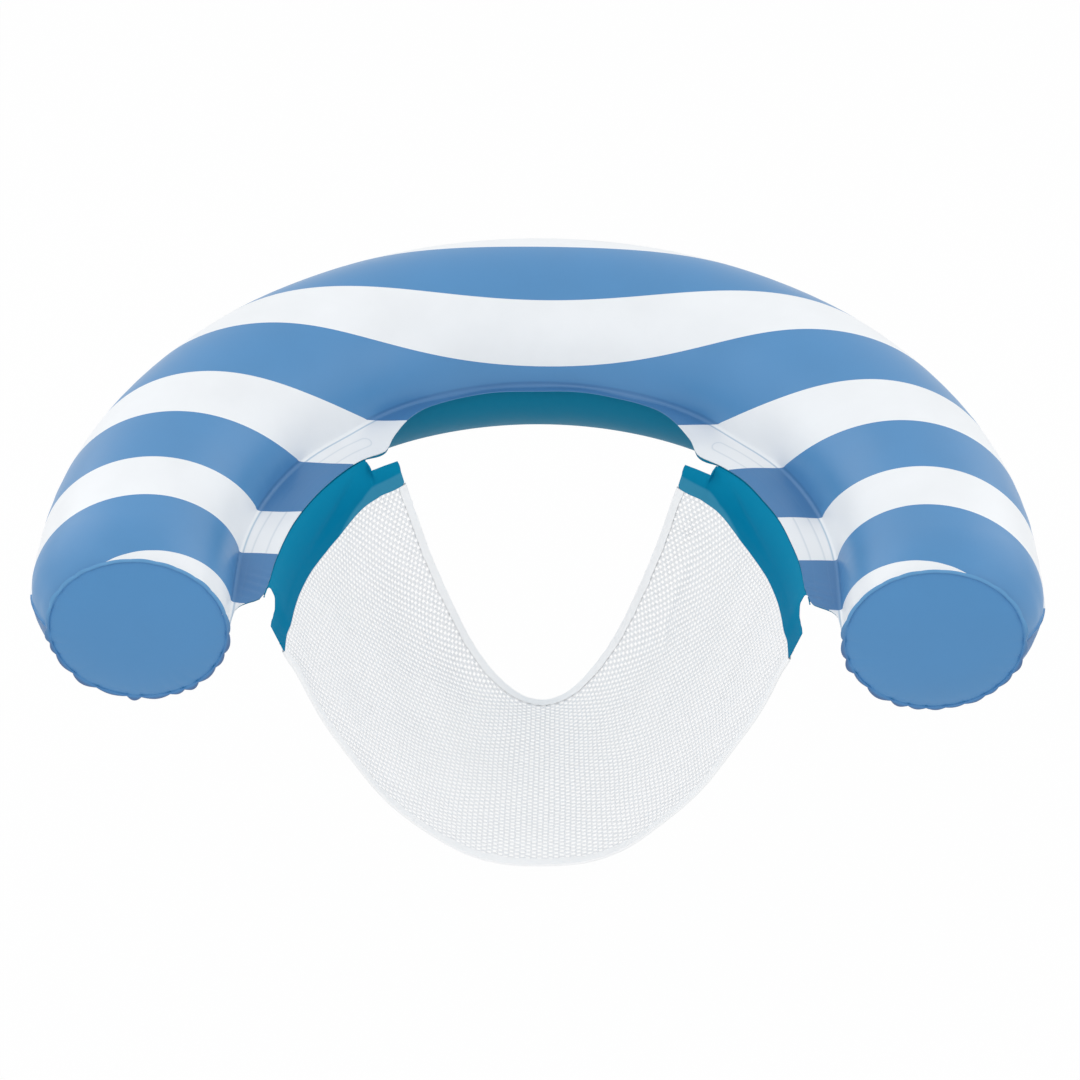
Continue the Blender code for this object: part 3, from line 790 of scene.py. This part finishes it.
def make_band(name, node, side, finish):
    """Make one vinyl band: its margin under the web, and the strip that hangs down."""
    grid, downs, strips, dents, has_web = [], [], [], [], []
    blank = np.zeros(MARGIN_STEPS)
    to_weld = BAND_LAP_SHARE * (1 - np.arange(MARGIN_STEPS) / MARGIN_STEPS)
    for number in band_row_numbers():
        half_width, y, band = seat_row(number)
        x, z, run = seat_section(half_width, y)
        hang, weld = np.array([row_value(number, i) for i in range(4)]).reshape(2, 2)
        inside = FIRST_WEB_ROW <= number <= LAST_WEB_ROW
        has_web.append(inside)
        margin = hang + to_weld[:, None] * (weld - hang) * inside
        lift = web_lift(margin[:, 0] * side, margin[:, 1], 1 - to_weld) * inside
        margin = np.column_stack((margin, BAND_UNDERSIDE + lift))
        corner = max(0.0, 1 - number / TAB_CORNER_ROWS)
        lower = band - TAB_CORNER * (1 - (1 - corner ** 2) ** 0.5)
        trim = band_trim(number)
        distances = trim + (lower - trim) * np.linspace(0, 1, BAND_STEPS + 1)
        near_top = hump(distances, 0, HANG_REACH)
        lift = web_lift(half_width * side, y, 1.0) * near_top * inside
        strip = np.stack((np.interp(distances, run, x), y + (hang[1] - y) * near_top,
                          np.interp(distances, run, z) + lift), axis=1)
        grid.append(np.concatenate((margin, strip)))
        strip_share = (distances / band - np.interp(y, STRIP_Y, STRIP_STARTS)) / STRIP_SOFTNESS
        dents.append(np.append(blank, crease_depth(distances, lower, y)))
        strips.append(np.append(blank - 1, strip_share))
        downs.append(np.append(blank, distances))
    grid = np.array(grid)
    grid = (grid - surface_normals(grid) * np.array(dents)[..., None]) * (side, 1, 1)
    keep = np.ones((len(grid) - 1, grid.shape[1] - 1), bool)
    has_web = np.array(has_web)
    keep[:, :MARGIN_STEPS] = (has_web[:-1] & has_web[1:])[:, None]
    values = {"pale_strip": np.clip(strips, -1, 2), "band_down": np.array(downs)}
    made = film(name, grid, -FILM * side, values, keep)
    cut_notch(made, side)
    return dress(made, node, finish)


def cut_notch(band, side):
    """Cut the notch at the band's front, a bite that is open to the front."""
    curve = np.array(NOTCH_CURVE)
    way = np.concatenate(([0], np.cumsum(np.hypot(*np.diff(curve, axis=0).T))))
    finer = np.linspace(0, way[-1], NOTCH_STEPS + 1)
    outline = [*zip(*(smooth_path(finer, way, places) for places in curve.T)), *NOTCH_TOP]
    middle = INNER_HALF_WIDTH * SEAT_FRONT_SHARE * side
    count = len(outline)
    points = [(middle + reach, y, z) for reach in (-NOTCH_REACH, NOTCH_REACH)
              for y, z in outline]
    faces = [[*range(count)], [*range(2 * count - 1, count - 1, -1)]]
    for i in range(count):
        following = (i + 1) % count
        faces.append((following, i, i + count, following + count))
    mesh = new_mesh(band.name + "_notch", points, faces)
    with shape_of(mesh) as shape:
        bmesh.ops.recalc_face_normals(shape, faces=shape.faces)
    cut_away(band, mesh, Matrix.Identity(4))


def fold_depth(along, y):
    """Return how deep the net's folds are at places on it."""
    depth = np.zeros(np.shape(along))
    for points, most, half_width in FOLDS:
        points = np.array(points)
        nearest = np.full(depth.shape, 1e9)
        fade = np.zeros(depth.shape)
        for i, (start, end) in enumerate(zip(points[:-1], points[1:])):
            way = end - start
            share = ((along - start[0]) * way[0] + (y - start[1]) * way[1]) / (way @ way)
            share = np.clip(share, 0, 1)
            away = np.hypot(along - start[0] - share * way[0], y - start[1] - share * way[1])
            closer = away < nearest
            nearest = np.where(closer, away, nearest)
            fade = np.where(closer, (i + share) / (len(points) - 1), fade)
        depth += most * hump(nearest, 0, half_width) * np.sin(pi * fade) ** 0.5
    return depth


def net_table():
    """Return a fine table of the net's upper face: points, normals and each row's length.

    Rows run from rear to front, columns from the left band's lap to the right band's.
    """
    places = np.linspace(REAR_Y, -SEAT_FRONT, NET_ROWS)
    shares = np.linspace(0, 1, NET_COLUMNS)
    grid, lengths, sides = [], [], []
    for y in places:
        half_width, body, band = seat_row(row_at(y))
        x, z, run = seat_section(half_width, body)
        start = band - NET_LAP
        distances = start + (run[-1] - 2 * start) * shares
        grid.append(np.stack((np.interp(distances, run, x), np.full(NET_COLUMNS, y),
                              np.interp(distances, run, z)), axis=1))
        lengths.append(run[-1] - 2 * start)
        sides.append(run[-1] / 2 - distances)
    grid, sides, lengths = np.array(grid), np.array(sides), np.array(lengths)
    to_band = np.minimum(shares, 1 - shares) * lengths[:, None] - NET_LAP
    free = ease(to_band, 0.0, NET_FREE_REACH)
    swell = np.sin(sides * 47 + places[:, None] * 38) + np.sin(places[:, None] * 71 - sides * 23)
    down = free * (fold_depth(sides, places[:, None]) + NET_SWELL * swell) + NET_GAP
    grid = grid - surface_normals(grid) * down[..., None]
    return grid, surface_normals(grid), lengths


NET_GRID, NET_NORMALS, NET_LENGTHS = net_table()


def net_place(shares, y):
    """Return the points and normals of the net's upper face; y may run past its edges."""
    shares, y = np.broadcast_arrays(np.asarray(shares, float), np.asarray(y, float))
    row = (REAR_Y - np.clip(y, -SEAT_FRONT, REAR_Y)) / (REAR_Y + SEAT_FRONT) * (NET_ROWS - 1)
    column = np.clip(shares, 0, 1) * (NET_COLUMNS - 1)
    i = np.minimum(row.astype(int), NET_ROWS - 2)
    j = np.minimum(column.astype(int), NET_COLUMNS - 2)
    s, t = (row - i)[..., None], (column - j)[..., None]
    found = []
    for table in (NET_GRID, NET_NORMALS):
        upper = table[i, j] * (1 - t) + table[i, j + 1] * t
        lower = table[i + 1, j] * (1 - t) + table[i + 1, j + 1] * t
        found.append(upper * (1 - s) + lower * s)
    points, normals = found
    points[..., 1] += y - np.clip(y, -SEAT_FRONT, REAR_Y)
    return points, normals / np.linalg.norm(normals, axis=-1, keepdims=True)


def net_lattice():
    """Return the knots of the net: their shares across it and their places along it.

    The knots lie on zigzag lines between the columns of holes, half a hole's pitch apart.
    """
    middle = len(NET_LENGTHS) // 2
    columns = 2 * round(NET_LENGTHS[middle] / COLUMN_PITCH / 2)
    places = np.linspace(REAR_Y + NET_BEYOND, -SEAT_FRONT - NET_BEYOND, LATTICE_SAMPLES)
    lines = []
    for line in range(columns + 1):
        x = net_place(line / columns, places)[0][:, 0]
        slant = np.sqrt(1 + np.gradient(x, places) ** 2)
        pace = np.maximum(1, slant * HOLE_PITCH / HOLE_PITCH_MOST)
        step = -np.diff(places) * (pace[1:] + pace[:-1]) / 2
        lines.append(np.concatenate(([0], np.cumsum(step))))
    knots = int(max(run[-1] for run in lines) / (HOLE_PITCH / 2))
    runs = np.arange(knots + 1) * HOLE_PITCH / 2
    along = np.array([np.interp(runs, run, places) for run in lines])
    number = np.arange(columns + 1)[:, None]
    turn = np.where((np.arange(knots + 1) - number) % 2 == 1, 1, -1)
    turn = turn * ((number > 0) & (number < columns))
    lengths = np.interp(-along, -np.linspace(REAR_Y, -SEAT_FRONT, NET_ROWS), NET_LENGTHS)
    return number / columns + turn * COLUMN_ZIGZAG / 2 / lengths, along


def make_net(name, node, finish):
    """Make the knitted net: strands of a lens section round every hole."""
    shares, along = net_lattice()
    top, normal = net_place(shares, along)
    lines, knots = shares.shape
    index = np.arange(lines * knots).reshape(lines, knots)
    cells = np.array([[*index[column, knot - 1:knot + 2], *index[column + 1, knot - 1:knot + 2][::-1]]
                      for column in range(lines - 1)
                      for knot in range(1 + column % 2, knots - 1, 2)])
    top, normal = top.reshape(-1, 3), normal.reshape(-1, 3)
    before_rear = top[cells][..., 1].min(axis=1) < REAR_Y + NET_EDGE_MARGIN
    behind_front = top[cells][..., 1].max(axis=1) > -SEAT_FRONT - NET_EDGE_MARGIN
    cells = cells[before_rear & behind_front]
    corners = top[cells] - normal[cells] * NET_THICKNESS / 2
    centre = corners.mean(axis=1, keepdims=True)
    rims = centre + hole_offsets(corners - centre)
    count = len(top)
    rim = 2 * count + np.arange(cells.size).reshape(cells.shape)
    after, rim_after = np.roll(cells, -1, axis=1), np.roll(rim, -1, axis=1)
    upper = np.stack((cells, after, rim_after, rim), axis=2).reshape(-1, 4)
    under = np.stack((rim, rim_after, after + count, cells + count), axis=2).reshape(-1, 4)
    faces = upper.tolist() + under.tolist() + edge_faces(cells.tolist(), count)
    points = np.concatenate((top, top - normal * NET_THICKNESS, rims.reshape(-1, 3)))
    mesh = new_mesh(name, points.tolist(), faces)
    trim_net(mesh)
    return dress(finish_mesh(name, mesh), node, finish)


def hole_offsets(corners):
    """Shrink each cell's corners to its hole, less across the net than along it."""
    along = corners[:, 2:3] + corners[:, 3:4] - corners[:, 0:1] - corners[:, 5:6]
    along = along / np.linalg.norm(along, axis=2, keepdims=True)
    part = (corners * along).sum(axis=2, keepdims=True) * along
    return HOLE_ALONG_SHARE * part + HOLE_ACROSS_SHARE * (corners - part)


def trim_net(mesh):
    """Cut the net straight at its rear and front edges and close the cut strands."""
    with shape_of(mesh) as shape:
        for y, outward in ((REAR_Y, 1), (-SEAT_FRONT, -1)):
            everything = shape.verts[:] + shape.edges[:] + shape.faces[:]
            bmesh.ops.bisect_plane(shape, geom=everything, plane_co=(0, y, 0),
                                   plane_no=(0, outward, 0), clear_outer=True)
        open_edges = [edge for edge in shape.edges if len(edge.link_faces) == 1]
        bmesh.ops.holes_fill(shape, edges=open_edges, sides=0)


def hem_outline():
    """List the section of a folded tape: reach inwards from the net's edge, and height."""
    high, low = HEM_ROOM, -(NET_THICKNESS + HEM_ROOM)
    middle = (high + low) / 2
    bend, fold = HEM_FOLD
    bend_inside, fold_inside = HEM_FOLD_INSIDE
    return [(HEM_WIDTH, high), (HEM_WIDTH, high + HEM_PLY), (0.0, high + HEM_PLY),
            (-bend, high + HEM_PLY * HEM_ROUNDING), (-fold, middle),
            (-bend, low - HEM_PLY * HEM_ROUNDING), (0.0, low - HEM_PLY), (HEM_WIDTH, low - HEM_PLY),
            (HEM_WIDTH, low), (-bend_inside, low), (-fold_inside, middle), (-bend_inside, high)]


def make_hem(name, node, at_front, finish):
    """Make the tape that is folded round the net's front or rear edge."""
    edge, step = (-SEAT_FRONT, HEM_INWARD) if at_front else (REAR_Y, -HEM_INWARD)
    length = NET_LENGTHS[-1 if at_front else 0]
    lap = NET_LAP / length
    shares = np.linspace(lap, 1 - lap, HEM_SAMPLES)
    edge_points, up = net_place(shares, edge)
    inward = net_place(shares, edge + step)[0] - edge_points
    inward /= np.linalg.norm(inward, axis=1, keepdims=True)
    wave = HEM_WAVE * ripple(shares * length, HEM_WAVE_LENGTH, 31 + at_front)[:, None]
    edge_points = edge_points + inward * np.abs(wave)
    rings = [edge_points + inward * (reach + wave * (reach > 0)) + up * rise
             for reach, rise in hem_outline()]
    index = np.arange(len(rings) * len(shares)).reshape(len(rings), len(shares))
    after = np.roll(index, -1, axis=0)
    sides = np.stack((index[:, :-1], index[:, 1:], after[:, 1:], after[:, :-1]), axis=2)
    faces = sides.reshape(-1, 4).tolist() + [index[:, 0].tolist(), index[::-1, -1].tolist()]
    mesh = new_mesh(name, np.concatenate(rings).tolist(), faces)
    return dress(finish_mesh(name, mesh), node, finish)


class Nodes:
    """The nodes of a material or a world, with short ways to add to them."""

    def __init__(self, owner, shader="Principled BSDF"):
        owner.use_nodes = True
        self.owner = owner
        self.tree = owner.node_tree
        self.shader = self.tree.nodes[shader]

    def set(self, node, inputs):
        """Link sockets or set plain values to a node's inputs."""
        for key, value in inputs.items():
            if isinstance(value, bpy.types.NodeSocket):
                self.tree.links.new(value, node.inputs[key])
            else:
                node.inputs[key].default_value = value
        return node

    def shade(self, **inputs):
        """Set inputs of the shader, named with underscores, and return the nodes' owner."""
        self.set(self.shader, {key.replace("_", " "): value for key, value in inputs.items()})
        return self.owner

    def add(self, kind, inputs, **settings):
        """Add a node with its settings and inputs."""
        node = self.tree.nodes.new("ShaderNode" + kind)
        for key, value in settings.items():
            setattr(node, key, value)
        return self.set(node, inputs)

    def value(self, name):
        """Return a value that the mesh carries at its points."""
        return self.add("Attribute", {}, attribute_name=name).outputs["Fac"]

    def noise(self, scale, detail):
        """Return a noise in the piece's own space."""
        place = self.add("TexCoord", {}).outputs["Object"]
        inputs = {"Vector": place, "Scale": scale, "Detail": detail}
        return self.add("TexNoise", inputs).outputs[0]

    def ribs(self, scale, distortion, direction):
        """Return fine ribs that follow each other in a direction."""
        place = self.add("TexCoord", {}).outputs["Object"]
        inputs = {"Vector": place, "Scale": scale, "Distortion": distortion}
        return self.add("TexWave", inputs, bands_direction=direction).outputs["Fac"]

    def math(self, operation, first, second=0.0):
        """Return the result of a Math node."""
        return self.add("Math", {0: first, 1: second}, operation=operation).outputs[0]

    def times(self, first, second):
        """Return a product."""
        return self.math("MULTIPLY", first, second)

    def remap(self, value, low, high, first=0.0, last=1.0):
        """Return first where a value is at low, last where it is at high, and held beyond."""
        inputs = {0: value, 1: low, 2: high, 3: first, 4: last}
        return self.add("MapRange", inputs).outputs[0]

    def blend(self, share, first, second, **settings):
        """Return a mix of two colours."""
        inputs = {0: share, 6: first, 7: second}
        return self.add("Mix", inputs, data_type="RGBA", **settings).outputs[2]

    def relief(self, height, strength=1.0):
        """Give the shader fine relief; the height is in metres."""
        bump = self.add("Bump", {"Height": height, "Strength": strength, "Distance": 1.0})
        self.shade(Normal=bump.outputs[0])


def new_finish(name):
    """Return the nodes of a new material."""
    return Nodes(bpy.data.materials.new(name))


def vinyl_surface(finish, roughness, specular, lines=None):
    """Give a finish the fine grain and uneven gloss of calendered film; return its clouds."""
    clouds = finish.noise(scale=14.0, detail=3.0)
    gloss = finish.remap(clouds, 0.3, 0.7, roughness - 0.04, roughness + 0.05)
    height = finish.times(finish.noise(scale=900.0, detail=2.0), VINYL_GRAIN)
    if lines is not None:
        height = finish.math("ADD", height, lines)
    finish.relief(height)
    finish.shade(Roughness=gloss, IOR=VINYL_IOR, Specular_IOR_Level=specular)
    return clouds


def clouded(finish, clouds, tint):
    """Return a colour that is slightly uneven, as calendered film is."""
    darker, lighter = ((*(value * share for value in tint[:3]), 1) for share in (0.95, 1.04))
    return finish.blend(clouds, darker, lighter)


def line_masks(finish, inset):
    """Return two masks: the line beside the weld, and the web's long loop."""
    across, along = finish.value("loop_across"), finish.value("loop_along")
    rear = WELD_ARC_RADIUS * radians(LOOP_REAR_DEGREES) + LOOP_HALF_WIDTH
    front = WELD_ARC_RADIUS * pi / 2 + LOOP_FRONT - LOOP_HALF_WIDTH
    before = finish.math("MAXIMUM", finish.math("SUBTRACT", rear, along))
    beyond = finish.math("MAXIMUM", finish.math("SUBTRACT", along, front))
    end = finish.math("ADD", before, beyond)
    squared = finish.math("ADD", finish.times(end, end), finish.times(across, across))
    masks = []
    for place, line in ((inset, WELD_LINE_INSET), (finish.math("SQRT", squared), LOOP_HALF_WIDTH)):
        away = finish.math("ABSOLUTE", finish.math("SUBTRACT", place, line))
        masks.append(finish.remap(away, 0.0, LINE_WIDTH, 1.0, 0.0))
    return masks


def stripes(finish):
    """Return the printed stripes, blue and white in turn."""
    low, high = -0.2, 0.6
    ramp = finish.add("ValToRGB", {0: finish.remap(finish.value("print_place"), low, high)})
    ramp.color_ramp.interpolation = "CONSTANT"
    white, blue = colour(238, 241, 244), colour(80, 139, 190)
    stops = ramp.color_ramp.elements
    stops[0].position, stops[0].color = 0.0, white
    stops.remove(stops[1])
    for i, edge in enumerate(STRIPE_EDGES):
        stops.new((edge - low) / (high - low)).color = white if i % 2 else blue
    return ramp.outputs[0]


def striped_vinyl():
    """Vinyl with printed bands of blue and white, and embossed lines on the web.

    The lines are fainter on the blue, and the blue on the web is darkened with painted shade from the
    tube's wall.
    """
    finish = new_finish("striped_film")
    inset = finish.value("weld_inset")
    weld, loop = line_masks(finish, inset)
    lines = finish.times(finish.math("MAXIMUM", weld, loop), -LINE_DEPTH)
    clouds = vinyl_surface(finish, roughness=0.36, specular=0.5, lines=lines)
    printed = stripes(finish)
    red = finish.add("SeparateColor", {0: printed}).outputs[0]
    on_white = finish.remap(red, 0.1, 0.8, 0.12, 1.0)
    on_blue = finish.remap(red, 0.1, 0.8, 0.4, 0.0)
    on_web = finish.remap(inset, 0.06, 0.5, 1.0, 0.0)
    uneven = finish.remap(clouds, 0.3, 0.7, 0.97, 1.02)
    tint = finish.blend(1.0, printed, uneven, blend_type="MULTIPLY")
    for mask, strength, dark in ((loop, 0.30, colour(150, 172, 192)),
                                 (weld, 0.7, colour(122, 164, 196))):
        tint = finish.blend(finish.times(mask, finish.times(on_white, strength)), tint, dark)
    # Painted shade: the blue stripes on the web are darkened, as the tube's wall shades them.
    tint = finish.blend(finish.times(on_web, on_blue), tint, colour(58, 100, 150))
    return finish.shade(Base_Color=tint)


def teal_film():
    """Teal vinyl of the lower skin, slate blue at the outer rim of the arms' ends."""
    finish = new_finish("teal_film")
    clouds = vinyl_surface(finish, roughness=0.5, specular=0.08)
    teal, slate = clouded(finish, clouds, colour(0, 114, 147)), colour(104, 138, 180)
    return finish.shade(Base_Color=finish.blend(finish.value("end_rim"), teal, slate))


def band_film():
    """Bright teal vinyl of the bands, with painted light that makes their upper part lighter, and
    paler in a strip along their lower edge that widens towards the rear.
    """
    finish = new_finish("band_film")
    clouds = vinyl_surface(finish, roughness=0.55, specular=0.03)
    body = clouded(finish, clouds, colour(0, 121, 161))
    # Painted light: the band's upper part is lighter, where it faces up more.
    upper = finish.remap(finish.value("band_down"), 0.006, 0.040, 1.0, 0.0)
    body = finish.blend(upper, body, colour(8, 134, 173))
    # A paler strip along the band's lower edge, which widens towards the rear.
    edge_tone = finish.remap(finish.value("pale_strip"), 0.0, 1.0, 0.0, 0.75)
    return finish.shade(Base_Color=finish.blend(edge_tone, body, colour(66, 146, 178)))


def cap_film():
    """Blue vinyl of the end caps, with painted light on its flange.

    It has a painted highlight above and painted shade below, and a darker ring of painted shade in
    the crease at the disc's edge.
    """
    finish = new_finish("cap_film")
    clouds = vinyl_surface(finish, roughness=0.42, specular=0.3)
    blue = clouded(finish, clouds, colour(82, 141, 193))
    flange = finish.value("in_flange")
    # Painted light: the flange gets a painted highlight above, where it curls towards the light, and
    # painted shade below.
    upper = finish.remap(finish.value("cap_high"), -0.25, 0.35)
    edge_tone = finish.blend(upper, colour(76, 104, 148), colour(98, 155, 201))
    tint = finish.blend(finish.remap(flange, 0.12, 0.6, 0.0, 0.85), blue, edge_tone)
    # Painted shade: a darker ring in the crease at the disc's edge.
    beside = finish.math("ABSOLUTE", finish.math("SUBTRACT", flange, 0.02))
    crease = finish.remap(beside, 0.03, 0.2, 0.12, 0.0)
    return finish.shade(Base_Color=finish.blend(crease, tint, colour(66, 116, 166)))


def net_thread():
    """White knitted polyester: fine ribs of yarn and a soft sheen."""
    finish = new_finish("net_thread")
    knit_depth, rib_depth = 0.00006, 0.00008
    knit = finish.noise(scale=1500.0, detail=2.0)
    ribs = finish.ribs(scale=420.0, distortion=2.0, direction="Y")
    finish.relief(finish.math("ADD", finish.times(knit, knit_depth),
                              finish.times(ribs, rib_depth)), 0.8)
    white = finish.blend(knit, colour(234, 236, 238), colour(253, 253, 254))
    return finish.shade(Base_Color=white, Roughness=0.62, Sheen_Weight=0.25)


def binding_tape():
    """White woven edging tape with its cross ribs."""
    finish = new_finish("binding_tape")
    weave_depth, fuzz_depth = 0.00004, 0.00003
    fuzz = finish.noise(scale=800.0, detail=3.0)
    weave = finish.ribs(scale=500.0, distortion=1.0, direction="X")
    finish.relief(finish.math("ADD", finish.times(weave, weave_depth),
                              finish.times(fuzz, fuzz_depth)), 0.8)
    white = finish.blend(fuzz, colour(250, 251, 252), colour(255, 255, 255))
    return finish.shade(Base_Color=white, Roughness=0.6, Sheen_Weight=0.45)


def valve_vinyl():
    """Milky soft vinyl of the valve, with fine moulding marks."""
    finish = new_finish("valve_soft_vinyl")
    mark_depth = 0.00006
    marks = finish.noise(scale=420.0, detail=3.0)
    finish.relief(finish.times(marks, mark_depth), 0.7)
    milky = finish.blend(marks, colour(214, 222, 228), colour(232, 238, 242))
    return finish.shade(Base_Color=milky, Roughness=0.38, Subsurface_Weight=0.15,
                        Subsurface_Radius=(0.004, 0.005, 0.006))


def whiten_when_seen(nodes, kind, output, most):
    """Mix in plain white for rays that reach the camera directly, by gloss or through glass."""
    path = nodes.add("LightPath", {}).outputs
    seen = nodes.math("MAXIMUM", path["Is Camera Ray"], path["Is Glossy Ray"])
    seen = nodes.math("MAXIMUM", seen, path["Is Transmission Ray"])
    white = nodes.add(kind, {"Color": (1, 1, 1, 1), "Strength": 1.0})
    mix = nodes.add("MixShader", {0: nodes.times(seen, most), 1: nodes.shader.outputs[0],
                                  2: white.outputs[0]})
    nodes.set(nodes.tree.nodes[output], {"Surface": mix.outputs[0]})


def make_stage():
    """Make the floor, the pale surroundings and the soft lamps."""
    reach = FLOOR_REACH
    corners = [(-reach, -reach, 0), (reach, -reach, 0), (reach, reach, 0), (-reach, reach, 0)]
    floor = new_object("floor", new_mesh("floor", corners, [(0, 1, 2, 3)]))
    floor.location = (0, 0, FLOOR_HEIGHT)
    paper = new_finish("pale_floor")
    paper.shade(Base_Color=(0.9, 0.9, 0.9, 1), Roughness=0.9, Specular_IOR_Level=0.1)
    whiten_when_seen(paper, "Emission", "Material Output", FLOOR_WHITE)
    floor.data.materials.append(paper.owner)
    world = bpy.data.worlds.new("studio")
    bpy.context.scene.world = world
    studio = Nodes(world, "Background")
    studio.shade(Color=WORLD_TINT, Strength=WORLD_LIGHT)
    whiten_when_seen(studio, "Background", "World Output", 1.0)
    for lamp in LAMPS:
        add_lamp(*lamp)


def add_lamp(name, place, size, power):
    """Add a soft square lamp that faces the object."""
    lamp = bpy.data.lights.new(name, "AREA")
    lamp.shape = "SQUARE"
    lamp.size = size
    lamp.energy = power
    made = new_object(name, lamp)
    made.location = place
    way = CAMERA_TARGET - Vector(place)
    made.rotation_euler = way.to_track_quat("-Z", "Y").to_euler()


def make_camera():
    """Put the camera where the photograph was taken from."""
    data = bpy.data.cameras.new("camera")
    data.lens = CAMERA_LENS
    data.sensor_width = SENSOR_WIDTH
    data.shift_x = CAMERA_SHIFT
    data.clip_end = 100.0
    camera = new_object("camera", data)
    up, yaw = radians(CAMERA_ELEVATION), radians(CAMERA_YAW)
    away = Vector((sin(yaw) * cos(up), -cos(yaw) * cos(up), sin(up)))
    camera.location = CAMERA_TARGET + CAMERA_DISTANCE * away
    camera.rotation_euler = (-away).to_track_quat("-Z", "Y").to_euler()
    bpy.context.scene.camera = camera


def dress_valve():
    """Give the valve's own CAD pieces their material."""
    finish = valve_vinyl()
    for name in ("valve_flange", "valve_stem", "valve_plug", "check_flap"):
        node = frame["nodes"][name]
        for place in node.material_slots:
            place.material = finish


def main():
    """Build the scene in order: camera, stage, vinyl pieces, net, tapes and valve."""
    bpy.context.scene.view_settings.view_transform = "Standard"
    make_camera()
    make_stage()
    make_skin("upper_film", "upper_skin", 1, striped_vinyl())
    make_skin("lower_film", "lower_skin", -1, teal_film())
    blue, bright_teal = cap_film(), band_film()
    make_cap("cap_left", "end_cap_left", 1, blue)
    make_cap("cap_right", "end_cap_right", -1, blue)
    make_band("band_left", "seat_band_left", 1, bright_teal)
    make_band("band_right", "seat_band_right", -1, bright_teal)
    net = make_net("net", "seat_net", net_thread())
    tape = binding_tape()
    hems = [make_hem("hem_front", "front_hem", True, tape),
            make_hem("hem_rear", "rear_hem", False, tape)]
    dress_valve()


main()
